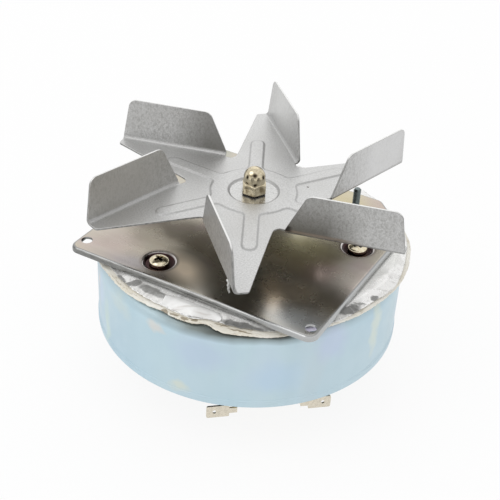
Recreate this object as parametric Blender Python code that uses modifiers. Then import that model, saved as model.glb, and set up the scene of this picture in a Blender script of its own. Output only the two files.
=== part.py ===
"""Oven fan motor: a six-blade pressed fan wheel on a shaded-pole motor with an insulated mounting plate.

The origin is on the shaft axis at the rear face that the motor rests on, with +Z towards the fan.
The mounting plate's edges lie along X and Y. Sizes are in metres, written as millimetres times mm.
"""
import math

import bmesh
import bpy
from mathutils import Matrix, Vector

mm = 0.001
deg = math.radians(1.0)

# Clearances
GAP = 0.3 * mm            # between pieces that touch
RUN = 0.1 * mm            # radial running clearance of the shaft in its bushes
CORNER_STEP = 20 * deg    # angle between points of a rounded corner

# Rear bracket, the lowest piece
BRACKET_T = 1.5 * mm
REAR_DEPTH = 12.7 * mm
CUP_R = 17.5 * mm
CUP_BEND = 1.7 * mm

# Shaft and bearings
SHAFT_R = 4.0 * mm
SHAFT_END_GAP = 1.1 * mm
SPIGOT_R = 3.0 * mm
BUSH_BALL_R = 7.0 * mm
BUSH_LENGTH = 9.0 * mm
RETAINER_T = 0.5 * mm
RETAINER_R = 12.5 * mm
RETAINER_LIP_R = 10.2 * mm
RETAINER_MOUTH_R = 6.3 * mm
RETAINER_GRIP = 3.9 * mm
FELT_H = 1.8 * mm
THRUST_R = 7.0 * mm

# Stator
STACK_H = 18.0 * mm
STACK_HALF_W = 29.0 * mm
STACK_TOP_Y = 24.0 * mm
STACK_WAIST_Y = -20.0 * mm
ARM_END_Y = -44.0 * mm
ARM_W = 11.5 * mm
BORE_R = 15.75 * mm
AIR_GAP = 0.35 * mm
CORE_BAR_Y = -36.0 * mm
CORE_BAR_W = 14.0 * mm
LAMINATION = 0.5 * mm
STATOR_SCREW_X = 23.5 * mm
STATOR_SCREW_Y = (18.5 * mm, -14.5 * mm)
RING_BAR = 2.0 * mm
RING_DEPTH = 2.6 * mm
RING_Y = 5.5 * mm
MOTOR_TURN = 40.7 * deg

# Coil
BOBBIN_WALL = 1.0 * mm
FLANGE_T = 1.6 * mm
FLANGE_LIP = 0.5 * mm
POCKET_DEPTH = 2.6 * mm
WINDING_BUILD = 2.6 * mm
TAPE_T = 0.4 * mm
COIL_CORNER_R = 4.0 * mm

# Spade terminals
TAB_W = 6.3 * mm
TAB_T = 0.8 * mm
TAB_LENGTH = 10.0 * mm
TAB_HOLE_R = 0.9 * mm
TAB_HOLE_INSET = 3.5 * mm
TAB_DROP = 7.5 * mm
TAB_REACH = 7.6 * mm
STEM_W = 2.8 * mm
STEM_X = 14.5 * mm
STEM_RUN = 3.1 * mm

# Screws
SCREW_R = 2.0 * mm
HEAD_R = 4.3 * mm
HEAD_H = 2.7 * mm
RECESS_DEPTH = 1.5 * mm
RECESS_TURN = 24 * deg
NUT_AF = 7.0 * mm
NUT_H = 3.2 * mm

# Sleeves between the front bracket and the drum
SLEEVE_LENGTH = 29.1 * mm
SLEEVE_R = 4.5 * mm
SLEEVE_SIDE = (43.8 * mm, -20.0 * mm)
SLEEVE_TOP_Y = 47.0 * mm
BRACKET_ARM_R = 6.5 * mm
COIL_NOTCH_X = 18.0 * mm

# Cooling fan inside the drum
COOLER_R = 41.0 * mm
COOLER_HUB_R = 17.0 * mm
COOLER_BLADES = 8
COOLER_TWIST = 32 * deg
COOLER_T = 0.8 * mm
COLLAR_R = 7.5 * mm
COLLAR_H = 9.0 * mm
COOLER_RISE = 4.5 * mm

# Drum
DRUM_R = 68.8 * mm
DRUM_T = 1.0 * mm
DRUM_H = 37.1 * mm
DRUM_CORNER_R = 6.0 * mm
HEM_H = 3.0 * mm
HEM_STEP = 0.4 * mm
SHAFT_HOLE_R = 7.0 * mm

# Insulation
BLANKET_T = 3.6 * mm
BLANKET_R = 70.4 * mm
BLANKET_WAVE = 0.9 * mm
BLANKET_DROOP = 1.6 * mm

# Mounting plate
PLATE_X = 118.2 * mm
PLATE_Y = 112.2 * mm
PLATE_T = 1.2 * mm
PLATE_CORNER_R = 4.5 * mm
PLATE_CLIP = 20.0 * mm
LIP_H = 2.6 * mm
LIP_BEND = 1.5 * mm
DISH_R = 7.7 * mm
DISH_FLOOR_R = 5.6 * mm
FIXING_X = 54.8 * mm
FIXING_Y = 48.2 * mm
FIXING_R = 2.4 * mm
STUD_AT = (31.0 * mm, 43.5 * mm)
STUD_R = 1.75 * mm
STUD_RISE = 10.0 * mm
STUD_HEAD_R = 3.6 * mm
STUD_HEAD_H = 0.8 * mm

# Fan wheel
FAN_OFF_PLATE = 19.7 * mm
FAN_R = 75.0 * mm
FAN_T = 0.9 * mm
FAN_ARMS = 6
FAN_TURN = -2.7 * deg
FOLD_OUTER_ANGLE = -2.9 * deg
FOLD_INNER_R = 33.6 * mm
FOLD_INNER_ANGLE = -35.0 * deg
TIP_W = 5.5 * mm
ARM_FOOT = (33.2 * mm, 8.7 * mm)
RELIEF_AT = (31.3 * mm, 11.3 * mm)
BEND_R = 1.5 * mm
BLADE_H = 19.8 * mm
BLADE_LEAN = 2.5 * deg
BLADE_OUTER_SET = 3.0 * mm
BLADE_INNER_SET = 8.6 * mm
BLADE_CORNER_R = 4.0 * mm
EMBOSS_H = 0.6 * mm
EMBOSS_SLOPE = 1.1 * mm
RIB_HALF_W = 3.5 * mm
RIB_END_R = 46.5 * mm
FLOWER_R = 19.8 * mm
HUB_R = 11.0 * mm
HUB_SINK = 0.3 * mm

# Dome nut and washer
CAP_AF = 10.0 * mm
CAP_HEX_H = 5.0 * mm
CAP_H = 12.0 * mm
CAP_DOME_R = 4.75 * mm
CAP_BORE_DEPTH = 8.0 * mm
CAP_TURN = 1.4 * deg
WASHER_R = 9.0 * mm
WASHER_T = 1.5 * mm

# Levels, worked out upwards from the rear face
STACK_Z = REAR_DEPTH + GAP
STACK_MID = STACK_Z + STACK_H / 2
FRONT_PLATE_Z = STACK_Z + STACK_H + GAP
SLEEVE_Z = FRONT_PLATE_Z + BRACKET_T + GAP
DRUM_TOP = SLEEVE_Z + SLEEVE_LENGTH + GAP + DRUM_T
DRUM_BOTTOM = DRUM_TOP - DRUM_H
BLANKET_Z = DRUM_TOP + GAP
LIP_Z = BLANKET_Z + BLANKET_T + GAP
PLATE_TOP = LIP_Z + LIP_H
DISH_DEPTH = LIP_H - PLATE_T
FAN_LEVEL = PLATE_TOP + FAN_OFF_PLATE
HUB_LEVEL = FAN_LEVEL - HUB_SINK
WASHER_Z = HUB_LEVEL - FAN_T - GAP - WASHER_T
SHOULDER_Z = WASHER_Z - GAP
REAR_BUSH_Z = BRACKET_T + GAP + BUSH_LENGTH / 2
FRONT_BUSH_Z = STACK_Z + STACK_H + STACK_Z - REAR_BUSH_Z
FRONT_CROWN_Z = FRONT_BUSH_Z + math.sqrt(BUSH_BALL_R ** 2 - (BUSH_BALL_R - 1.0 * mm) ** 2) + GAP
COLLAR_Z = FRONT_CROWN_Z + BRACKET_T + 1.5 * mm

MOTOR_FRAME = Matrix.Rotation(MOTOR_TURN, 4, "Z")
SLEEVES = [SLEEVE_SIDE, (-SLEEVE_SIDE[0], SLEEVE_SIDE[1]), (0.0, SLEEVE_TOP_Y)]
STATOR_SCREWS = [(side * STATOR_SCREW_X, y) for side in (-1, 1) for y in STATOR_SCREW_Y]


# Outlines

def polar(radius, angle):
    return (radius * math.cos(angle), radius * math.sin(angle))


def circle(radius, steps, centre=(0.0, 0.0)):
    points = [polar(radius, math.tau * i / steps) for i in range(steps)]
    return [(centre[0] + x, centre[1] + y) for x, y in points]


def arc(centre, radius, start, end, steps):
    points = [polar(radius, start + (end - start) * i / steps) for i in range(steps + 1)]
    return [(centre[0] + x, centre[1] + y) for x, y in points]


def turned_outline(points, angle):
    c, s = math.cos(angle), math.sin(angle)
    return [(c * x - s * y, s * x + c * y) for x, y in points]


def rounded(corners):
    """Outline through corners (x, y, radius), each rounded by an arc of its radius."""
    outline = []
    for i, (x, y, radius) in enumerate(corners):
        here = Vector((x, y))
        back = (Vector(corners[i - 1][:2]) - here).normalized()
        ahead = (Vector(corners[(i + 1) % len(corners)][:2]) - here).normalized()
        if radius <= 0:
            outline.append((x, y))
            continue
        half = back.angle(ahead) / 2
        centre = here + (back + ahead).normalized() * radius / math.sin(half)
        first = here + back * radius / math.tan(half) - centre
        turn = math.pi - 2 * half
        if back.x * ahead.y - back.y * ahead.x > 0:
            turn = -turn
        start = math.atan2(first.y, first.x)
        steps = max(2, round(abs(turn) / CORNER_STEP))
        outline += arc(centre, radius, start, start + turn, steps)
    return outline


def rectangle(half_x, half_y, radius, centre=(0.0, 0.0)):
    cx, cy = centre
    signs = [(-1, -1), (1, -1), (1, 1), (-1, 1)]
    return rounded([(cx + sx * half_x, cy + sy * half_y, radius) for sx, sy in signs])


# Objects

def new_collection(name):
    collection = bpy.data.collections.new(name)
    bpy.context.scene.collection.children.link(collection)
    return collection


def add_object(name, mesh, collection, place=None):
    obj = bpy.data.objects.new(name, mesh)
    collection.objects.link(obj)
    if place is not None:
        obj.matrix_world = place
    return obj


def mesh_from(bm, name):
    mesh = bpy.data.meshes.new(name)
    bm.to_mesh(mesh)
    bm.free()
    return mesh


def smooth(obj, angle=35 * deg):
    obj.data.shade_smooth()
    obj.data.set_sharp_from_angle(angle=angle)


def flat_piece(name, outlines, thickness, collection, place=None):
    """Plate of one outline with holes, lying on the piece's own XY plane and rising by its thickness."""
    curve = bpy.data.curves.new(name, "CURVE")
    curve.dimensions = "2D"
    curve.fill_mode = "BOTH"
    curve.extrude = thickness / 2
    for outline in outlines:
        spline = curve.splines.new("POLY")
        spline.points.add(len(outline) - 1)
        for point, (x, y) in zip(spline.points, outline):
            point.co = (x, y, 0.0, 1.0)
        spline.use_cyclic_u = True
    guide = bpy.data.objects.new(name + "_outline", curve)
    collection.objects.link(guide)
    evaluated = guide.evaluated_get(bpy.context.evaluated_depsgraph_get())
    mesh = bpy.data.meshes.new_from_object(evaluated)
    bpy.data.objects.remove(guide)
    bm = bmesh.new()
    bm.from_mesh(mesh)
    bmesh.ops.remove_doubles(bm, verts=bm.verts, dist=0.001 * mm)
    bmesh.ops.translate(bm, verts=bm.verts, vec=(0.0, 0.0, thickness / 2))
    bm.to_mesh(mesh)
    bm.free()
    return add_object(name, mesh, collection, place)


def turned(name, profile, collection, steps=32, place=None):
    """Solid of revolution from (radius, height) points that run down the outer side."""
    bm = bmesh.new()
    verts = [bm.verts.new((r, 0.0, z)) for r, z in profile]
    for a, b in zip(verts, verts[1:]):
        bm.edges.new((a, b))
    if profile[0][0] > 0 and profile[-1][0] > 0:
        bm.edges.new((verts[-1], verts[0]))
    obj = add_object(name, mesh_from(bm, name), collection, place)
    screw = obj.modifiers.new("turn", "SCREW")
    screw.steps = steps
    screw.render_steps = steps
    screw.use_merge_vertices = True
    screw.merge_threshold = 0.001 * mm
    screw.use_normal_calculate = False
    return obj


def boolean(obj, tool, operation="DIFFERENCE"):
    cut = obj.modifiers.new(operation.lower(), "BOOLEAN")
    cut.operation = operation
    cut.object = tool


def cutter(name, radius, bottom, top, at, tools, place):
    hole = flat_piece(name, [circle(radius, 12, at)], top - bottom, tools)
    move = Matrix.Translation((0.0, 0.0, bottom))
    hole.matrix_world = move if place is None else place @ move
    hide_tool(hole)
    return hole


def hide_tool(tool):
    tool.hide_render = True
    tool.display_type = "WIRE"


def drill(obj, name, radius, bottom, top, places, tools, frame=None):
    for number, at in enumerate(places):
        boolean(obj, cutter(f"{name}_{number}", radius, bottom, top, at, tools, frame))


def joined(name, pieces, collection):
    """One object of several separate solids, such as a set of like screws."""
    bm = bmesh.new()
    graph = bpy.context.evaluated_depsgraph_get()
    for piece in pieces:
        mesh = bpy.data.meshes.new_from_object(piece.evaluated_get(graph))
        mesh.transform(piece.matrix_world)
        bm.from_mesh(mesh)
        bpy.data.meshes.remove(mesh)
    for piece in pieces:
        bpy.data.objects.remove(piece)
    return add_object(name, mesh_from(bm, name), collection)


def paint(obj, colour, roughness, metallic):
    material = bpy.data.materials.new(obj.name)
    material.use_nodes = True
    shader = material.node_tree.nodes["Principled BSDF"]
    shader.inputs["Base Color"].default_value = (*colour, 1.0)
    shader.inputs["Roughness"].default_value = roughness
    shader.inputs["Metallic"].default_value = metallic
    obj.data.materials.clear()
    obj.data.materials.append(material)
    return obj


# Pressed sheet: an open surface of flats and drawn walls, thickened by Solidify

def ring(bm, outline, z):
    return [bm.verts.new((x, y, z)) for x, y in outline]


def ring_edges(bm, verts):
    pairs = zip(verts, verts[1:] + verts[:1])
    return [bm.edges.get(pair) or bm.edges.new(pair) for pair in pairs]


def flat(bm, *rings):
    """Level sheet between an outer ring and the rings inside it."""
    edges = [edge for verts in rings for edge in ring_edges(bm, verts)]
    bmesh.ops.triangle_fill(bm, edges=edges, use_beauty=True, normal=(0.0, 0.0, 1.0))


def wall(bm, lower, upper):
    """Band of sheet between two rings with the same number of points."""
    for i in range(len(lower)):
        j = (i + 1) % len(lower)
        bm.faces.new((lower[i], lower[j], upper[j], upper[i]))


def sheet(name, bm, thickness, collection, place=None):
    """Thicken the open surface to its underside, so that the surface stays the sheet's top face."""
    bmesh.ops.recalc_face_normals(bm, faces=bm.faces)
    level = max(bm.faces, key=lambda face: abs(face.normal.z) * face.calc_area())
    if level.normal.z < 0:
        bmesh.ops.reverse_faces(bm, faces=bm.faces)
    obj = add_object(name, mesh_from(bm, name), collection, place)
    solidify = obj.modifiers.new("sheet", "SOLIDIFY")
    solidify.thickness = thickness
    solidify.offset = -1.0
    solidify.use_even_offset = True
    return obj


# Fan wheel

def fold_ends():
    outer = polar(FAN_R, FOLD_OUTER_ANGLE)
    inner = polar(FOLD_INNER_R, FOLD_INNER_ANGLE)
    return Vector(inner), Vector(outer)


def fold_line():
    """The fold's two ends, moved into the arm by the bend radius, and its outward direction."""
    inner, outer = fold_ends()
    along = (outer - inner).normalized()
    out = Vector((along.y, -along.x))
    return inner - out * BEND_R, outer - out * BEND_R, along, out


def arm_outline():
    """One arm of the flat star: fold, rounded tip, open edge and the round relief at its foot."""
    inner, outer, along, out = fold_line()
    tip = outer - out * (TIP_W - BEND_R)
    foot = Vector(ARM_FOOT)
    corners = rounded([(*inner, 0), (*outer, 0), (*(tip + along * 0.3 * mm), 1.6 * mm), (*foot, 0)])
    next_inner = Matrix.Rotation(math.tau / FAN_ARMS, 2) @ inner
    relief = Vector(RELIEF_AT)
    first, last = foot - relief, next_inner - relief
    start = math.atan2(first.y, first.x)
    end = math.atan2(last.y, last.x) - math.tau
    steps = 7
    bite = []
    for i in range(1, steps):
        share = i / steps
        radius = first.length * (1 - share) + last.length * share
        bite.append(tuple(relief + Vector(polar(radius, start + (end - start) * share))))
    return corners + bite


def emboss_outline(inset):
    """Flower round the hub, drawn out into one rib along each arm."""
    half = RIB_HALF_W - inset
    flower = FLOWER_R - inset
    end = RIB_END_R - RIB_HALF_W
    root = math.sqrt(flower ** 2 - half ** 2)
    spread = math.atan2(half, root)
    points = []
    for arm in range(FAN_ARMS):
        rib = [(root, -half)] + arc((end, 0.0), half, -90 * deg, 90 * deg, 4) + [(root, half)]
        petal = arc((0.0, 0.0), flower, spread, math.tau / FAN_ARMS - spread, 5)[1:-1]
        points += turned_outline(rib + petal, arm * math.tau / FAN_ARMS)
    return points


def add_blade(bm, arm, foot, tip):
    """Fold the sheet up from the arm's edge and shape the blade with rounded upper corners."""
    inner, outer, along, out = fold_line()
    turn = Matrix.Rotation(arm * math.tau / FAN_ARMS + FAN_TURN, 3, "Z")
    along3, out3, up = Vector((*along, 0.0)), Vector((*out, 0.0)), Vector((0.0, 0.0, 1.0))
    base = [Vector((*inner, FAN_LEVEL)), Vector((*outer, FAN_LEVEL))]
    bend = 90 * deg - BLADE_LEAN
    row = [foot, tip]
    steps = 4
    for i in range(1, steps + 1):
        angle = bend * i / steps
        shift = out3 * BEND_R * math.sin(angle) + up * BEND_R * (1 - math.cos(angle))
        new = [bm.verts.new(turn @ (point + shift)) for point in base]
        bm.faces.new((row[0], row[1], new[1], new[0]))
        row = new
    rise = up * math.sin(bend) + out3 * math.cos(bend)
    height = BLADE_H - BEND_R
    length = (base[1] - base[0]).length
    shape = rounded([
        (0.0, 0.0, 0), (length, 0.0, 0),
        (length - BLADE_OUTER_SET, height, BLADE_CORNER_R), (BLADE_INNER_SET, height, BLADE_CORNER_R)])
    origin = base[0] + shift
    panel = [bm.verts.new(turn @ (origin + along3 * x + rise * y)) for x, y in shape[2:]]
    bm.faces.new(row + panel)


def fan_wheel(parts):
    bm = bmesh.new()
    outline, folds = [], []
    for arm in range(FAN_ARMS):
        folds.append(len(outline))
        outline += turned_outline(arm_outline(), arm * math.tau / FAN_ARMS)
    star = ring(bm, turned_outline(outline, FAN_TURN), FAN_LEVEL)
    foot = ring(bm, turned_outline(emboss_outline(0.0), FAN_TURN), FAN_LEVEL)
    land = ring(bm, turned_outline(emboss_outline(EMBOSS_SLOPE), FAN_TURN), FAN_LEVEL + EMBOSS_H)
    brim = ring(bm, circle(HUB_R + EMBOSS_SLOPE / 2, 28), FAN_LEVEL + EMBOSS_H)
    hub = ring(bm, circle(HUB_R - EMBOSS_SLOPE / 2, 28), HUB_LEVEL)
    bore = ring(bm, circle(SPIGOT_R + GAP, 16), HUB_LEVEL)
    flat(bm, star, foot)
    wall(bm, foot, land)
    flat(bm, land, brim)
    wall(bm, brim, hub)
    flat(bm, hub, bore)
    for arm, index in enumerate(folds):
        add_blade(bm, arm, star[index], star[index + 1])
    wheel = sheet("fan_wheel", bm, FAN_T, parts)
    smooth(wheel)
    return paint(wheel, (0.62, 0.62, 0.61), 0.42, 1.0)


def dome_nut(parts, tools):
    base = HUB_LEVEL + GAP
    point_r = CAP_AF / math.sqrt(3)
    hexagon = turned_outline(circle(point_r, 6), CAP_TURN)
    nut = flat_piece("dome_nut", [hexagon], CAP_H, parts, Matrix.Translation((0.0, 0.0, base)))
    dome_z = CAP_H - CAP_DOME_R
    dome = arc((0.0, dome_z), CAP_DOME_R, 90 * deg, 0.0, 5)
    dome[0] = (0.0, CAP_H)
    chamfer = point_r - CAP_AF / 2
    side = [
        (CAP_DOME_R, CAP_HEX_H), (CAP_AF / 2, CAP_HEX_H), (point_r, CAP_HEX_H - chamfer * 0.6),
        (point_r, chamfer * 0.6), (CAP_AF / 2, -0.01 * mm), (0.0, -0.01 * mm)]
    envelope = turned("dome_nut_form", dome + side, tools, 24, Matrix.Translation((0.0, 0.0, base)))
    hide_tool(envelope)
    boolean(nut, envelope, "INTERSECT")
    drill(nut, "dome_nut_bore", SPIGOT_R + GAP, base - GAP, base + CAP_BORE_DEPTH, [(0.0, 0.0)], tools)
    return paint(nut, (0.72, 0.68, 0.58), 0.12, 1.0)


def hub_washer(parts):
    inner, outer = SPIGOT_R + GAP, WASHER_R
    profile = [(inner, WASHER_T), (outer, WASHER_T), (outer, 0.0), (inner, 0.0)]
    washer = turned("hub_washer", profile, parts, 20, Matrix.Translation((0.0, 0.0, WASHER_Z)))
    return paint(washer, (0.60, 0.60, 0.58), 0.3, 1.0)


# Shaft and rotor

def shaft(parts):
    low = BRACKET_T + SHAFT_END_GAP
    top = HUB_LEVEL + GAP + CAP_BORE_DEPTH - 0.5 * mm
    chamfer = 0.5 * mm
    profile = [
        (0.0, top), (SPIGOT_R - chamfer, top), (SPIGOT_R, top - chamfer), (SPIGOT_R, SHOULDER_Z),
        (SHAFT_R - chamfer, SHOULDER_Z), (SHAFT_R, SHOULDER_Z - chamfer),
        (SHAFT_R, low + chamfer), (SHAFT_R - chamfer, low), (0.0, low)]
    rod = turned("shaft", profile, parts, 20)
    smooth(rod)
    return paint(rod, (0.55, 0.55, 0.56), 0.25, 1.0)


def rotor_core(parts):
    radius = BORE_R - AIR_GAP
    core = flat_piece(
        "rotor_core", [circle(radius, 32), circle(SHAFT_R + GAP, 20)] + cage_slots(cage_bar_r() + GAP),
        STACK_H, parts, Matrix.Translation((0.0, 0.0, STACK_Z)))
    return paint(core, (0.35, 0.34, 0.33), 0.5, 1.0)


def cage_bar_r():
    return 1.2 * mm


def cage_slots(radius):
    middle = BORE_R - AIR_GAP - 2.6 * mm
    return [circle(radius, 6, polar(middle, math.tau * i / 6)) for i in range(6)]


def rotor_cage(parts, tools):
    """Two cast end rings joined by bars through the core's slots."""
    ring_h, overlap = 3.0 * mm, 0.5 * mm
    outer, inner = BORE_R - AIR_GAP - 0.4 * mm, 9.2 * mm
    outlines = [circle(outer, 28), circle(inner, 20)]
    low = STACK_Z - GAP - ring_h
    high = STACK_Z + STACK_H + GAP
    cage = flat_piece("rotor_cage", outlines, ring_h, parts, Matrix.Translation((0.0, 0.0, low)))
    upper = flat_piece("cage_upper_ring", outlines, ring_h, tools, Matrix.Translation((0.0, 0.0, high)))
    bars = []
    for number, slot in enumerate(cage_slots(cage_bar_r())):
        place = Matrix.Translation((0.0, 0.0, low + ring_h - overlap))
        bars.append(flat_piece(f"cage_bar_{number}", [slot], high - low - ring_h + 2 * overlap, tools, place))
    tool = joined("cage_bars", bars, tools)
    for piece in (tool, upper):
        hide_tool(piece)
        boolean(cage, piece, "UNION")
    return paint(cage, (0.70, 0.70, 0.70), 0.45, 1.0)


def thrust_washers(parts):
    """One washer on the shaft between each bush and the rotor core."""
    low = REAR_BUSH_Z + BUSH_LENGTH / 2 + GAP
    thickness = STACK_Z - GAP - low
    inner = SHAFT_R + GAP
    profile = [(inner, thickness), (THRUST_R, thickness), (THRUST_R, 0.0), (inner, 0.0)]
    for name, z in (("rear_thrust_washer", low), ("front_thrust_washer", STACK_Z + STACK_H + GAP)):
        washer = turned(name, profile, parts, 16, Matrix.Translation((0.0, 0.0, z)))
        paint(washer, (0.75, 0.72, 0.62), 0.6, 0.0)


# Bearings

def bush_profile():
    half = BUSH_LENGTH / 2
    inner = SHAFT_R + RUN
    lift = math.asin(half / BUSH_BALL_R)
    ball = arc((0.0, 0.0), BUSH_BALL_R, lift, -lift, 4)
    return [(inner, half)] + ball + [(inner, -half)]


def bush(name, z, parts):
    piece = turned(name, bush_profile(), parts, 16, Matrix.Translation((0.0, 0.0, z)))
    smooth(piece)
    return paint(piece, (0.52, 0.40, 0.26), 0.55, 1.0)


def retainer(name, face, centre, parts):
    """Dished spring washer that lies on a bracket's face and holds the bush by its far shoulder."""
    depth = abs(centre - face) + RETAINER_GRIP
    cone = [
        (RETAINER_LIP_R - 0.6 * mm, 0.0), (RETAINER_R, 0.0), (RETAINER_R, -RETAINER_T),
        (RETAINER_LIP_R, -RETAINER_T), (RETAINER_MOUTH_R + 0.6 * mm, 0.2 * mm - depth),
        (RETAINER_MOUTH_R, -depth)]
    place = Matrix.Translation((0.0, 0.0, face))
    if face < centre:
        place = place @ Matrix.Rotation(math.pi, 4, "X")
    piece = turned(name, cone, parts, 16, place)
    return paint(piece, (0.62, 0.62, 0.60), 0.35, 1.0)


def oil_felt(name, low, parts):
    inner, outer = BUSH_BALL_R + 0.15 * mm, BUSH_BALL_R + 1.25 * mm
    profile = [(inner, FELT_H), (outer, FELT_H), (outer, 0.0), (inner, 0.0)]
    felt = turned(name, profile, parts, 16, Matrix.Translation((0.0, 0.0, low)))
    return paint(felt, (0.55, 0.50, 0.40), 0.95, 0.0)


# Brackets

def bracket_sides():
    """Right-hand side of a bracket's outline, waisted where the shading ring crosses the stack."""
    edge = STACK_HALF_W
    waist = CUP_R + 0.9 * mm
    return [
        (edge, -9.0 * mm, 2 * mm), (waist, -9.0 * mm, 1 * mm), (waist, 11.0 * mm, 1 * mm),
        (edge, 11.0 * mm, 2 * mm), (edge, STACK_TOP_Y, 4 * mm)]


def mirrored(points):
    return [(-x, y, radius) for x, y, radius in reversed(points)]


def rear_bracket(parts):
    right = [(STACK_HALF_W, STACK_WAIST_Y + 0.5 * mm, 4 * mm)] + bracket_sides()
    outline = rounded(right + mirrored(right))
    bracket = drawn_bracket("rear_bracket", outline, REAR_DEPTH, -1, 0.0, parts)
    return paint(bracket, (0.66, 0.67, 0.66), 0.35, 1.0)


def front_bracket(parts, tools):
    reach, level = SLEEVE_SIDE
    r = BRACKET_ARM_R
    notch_y = STACK_WAIST_Y + 0.5 * mm
    right = [
        (COIL_NOTCH_X, notch_y, 1.5 * mm), (COIL_NOTCH_X, level - r, 1 * mm),
        (reach + r, level - r, r), (reach + r, level + r, r), (STACK_HALF_W + 2 * mm, level + r, 2 * mm)]
    arm = [(r, STACK_TOP_Y, 2 * mm), (r, SLEEVE_TOP_Y + r, r)]
    half = right + bracket_sides() + arm
    outline = rounded(half + mirrored(half))
    depth = FRONT_CROWN_Z + BRACKET_T - FRONT_PLATE_Z
    hole = BUSH_BALL_R - 1.0 * mm + GAP
    bracket = drawn_bracket("front_bracket", outline, depth, 1, hole, parts)
    bottom, top = FRONT_PLATE_Z - GAP, FRONT_PLATE_Z + BRACKET_T + GAP
    drill(bracket, "sleeve_hole", SCREW_R + GAP, bottom, top, SLEEVES, tools, MOTOR_FRAME)
    return paint(bracket, (0.66, 0.67, 0.66), 0.35, 1.0)


def drawn_bracket(name, outline, depth, direction, hole, parts):
    """Flat plate on the stack with a round cup drawn away from it, closed or with a hole in its crown."""
    face = FRONT_PLATE_Z + BRACKET_T if direction > 0 else REAR_DEPTH
    bm = bmesh.new()
    steps = 32
    rim = ring(bm, outline, face)
    holes = [ring(bm, circle(SCREW_R + GAP, 12, at), face) for at in STATOR_SCREWS]
    base = CUP_R - (BRACKET_T if direction < 0 else 0.0)
    crown = depth - (BRACKET_T if direction > 0 else 0.0)
    mouth = ring(bm, circle(base, steps), face)
    flat(bm, rim, mouth, *holes)
    lower = mouth
    drop = crown - (0.0 if direction > 0 else BRACKET_T)
    for i in range(3):
        angle = 90 * deg * i / 2
        inset = CUP_BEND * (1 - math.cos(angle))
        rise = drop - CUP_BEND * (1 - math.sin(angle))
        upper = ring(bm, circle(base - inset, steps), face + direction * rise)
        wall(bm, lower, upper)
        lower = upper
    if hole > 0:
        flat(bm, lower, ring(bm, circle(hole, 24), face + direction * drop))
    else:
        flat(bm, lower)
    return sheet(name, bm, BRACKET_T, parts, MOTOR_FRAME)


# Stator

def stack_outline():
    w, arm = STACK_HALF_W, STACK_HALF_W - ARM_W
    right = [
        (arm, STACK_WAIST_Y, 1.5 * mm), (arm, ARM_END_Y, 1 * mm), (w, ARM_END_Y, 3 * mm),
        (w, STACK_TOP_Y, 4 * mm)]
    return rounded(right + mirrored(right))


def ring_slot(side):
    """Slot through the stack for the inner leg of a shading ring."""
    middle = side * (CUP_R + 0.9 * mm + RING_BAR / 2 + GAP)
    return rectangle(RING_BAR / 2 + GAP, RING_DEPTH / 2 + GAP, 0, (middle, side * RING_Y))


def stator_stack(parts):
    holes = [circle(SCREW_R + GAP, 12, at) for at in STATOR_SCREWS]
    outlines = [stack_outline(), circle(BORE_R, 32), ring_slot(-1), ring_slot(1)] + holes
    place = MOTOR_FRAME @ Matrix.Translation((0.0, 0.0, STACK_Z))
    stack = flat_piece("stator_stack", outlines, STACK_H, parts, place)
    return paint(stack, (0.30, 0.29, 0.28), 0.55, 1.0)


def bridge_core(parts):
    half = STACK_HALF_W - ARM_W - GAP
    outline = rectangle(half, CORE_BAR_W / 2, 0.4 * mm, (0.0, CORE_BAR_Y))
    place = MOTOR_FRAME @ Matrix.Translation((0.0, 0.0, STACK_Z))
    core = flat_piece("bridge_core", [outline], STACK_H, parts, place)
    return paint(core, (0.30, 0.29, 0.28), 0.55, 1.0)


def shading_rings(parts):
    """One closed copper ring round part of each pole: through the slot and round the stack's side."""
    inner_x = CUP_R + 0.9 * mm + GAP
    outer_x = STACK_HALF_W + GAP + RING_BAR
    half_x, half_z = (outer_x - inner_x) / 2, STACK_H / 2 + GAP + RING_BAR
    outer = rectangle(half_x, half_z, 1 * mm)
    inner = rectangle(half_x - RING_BAR, half_z - RING_BAR, 0)
    for number, side in enumerate((-1, 1)):
        middle = Matrix.Translation((side * (inner_x + half_x), side * RING_Y + RING_DEPTH / 2, STACK_MID))
        place = MOTOR_FRAME @ middle @ Matrix.Rotation(90 * deg, 4, "X")
        piece = flat_piece(f"shading_ring_{number + 1}", [outer, inner], RING_DEPTH, parts, place)
        paint(piece, (0.72, 0.36, 0.20), 0.3, 1.0)


# Coil, wound along the bridge core

def coil_place(x):
    """Frame whose Z runs along the bridge core, from x, with its Y up."""
    turn = Matrix(((0, 0, 1, 0), (1, 0, 0, 0), (0, 1, 0, 0), (0, 0, 0, 1)))
    return MOTOR_FRAME @ Matrix.Translation((x, CORE_BAR_Y, STACK_MID)) @ turn


def coil_half(extra):
    return CORE_BAR_W / 2 + GAP + extra, STACK_H / 2 + GAP + extra


def flange_extra():
    return BOBBIN_WALL + GAP + WINDING_BUILD + GAP + TAPE_T + FLANGE_LIP


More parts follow.
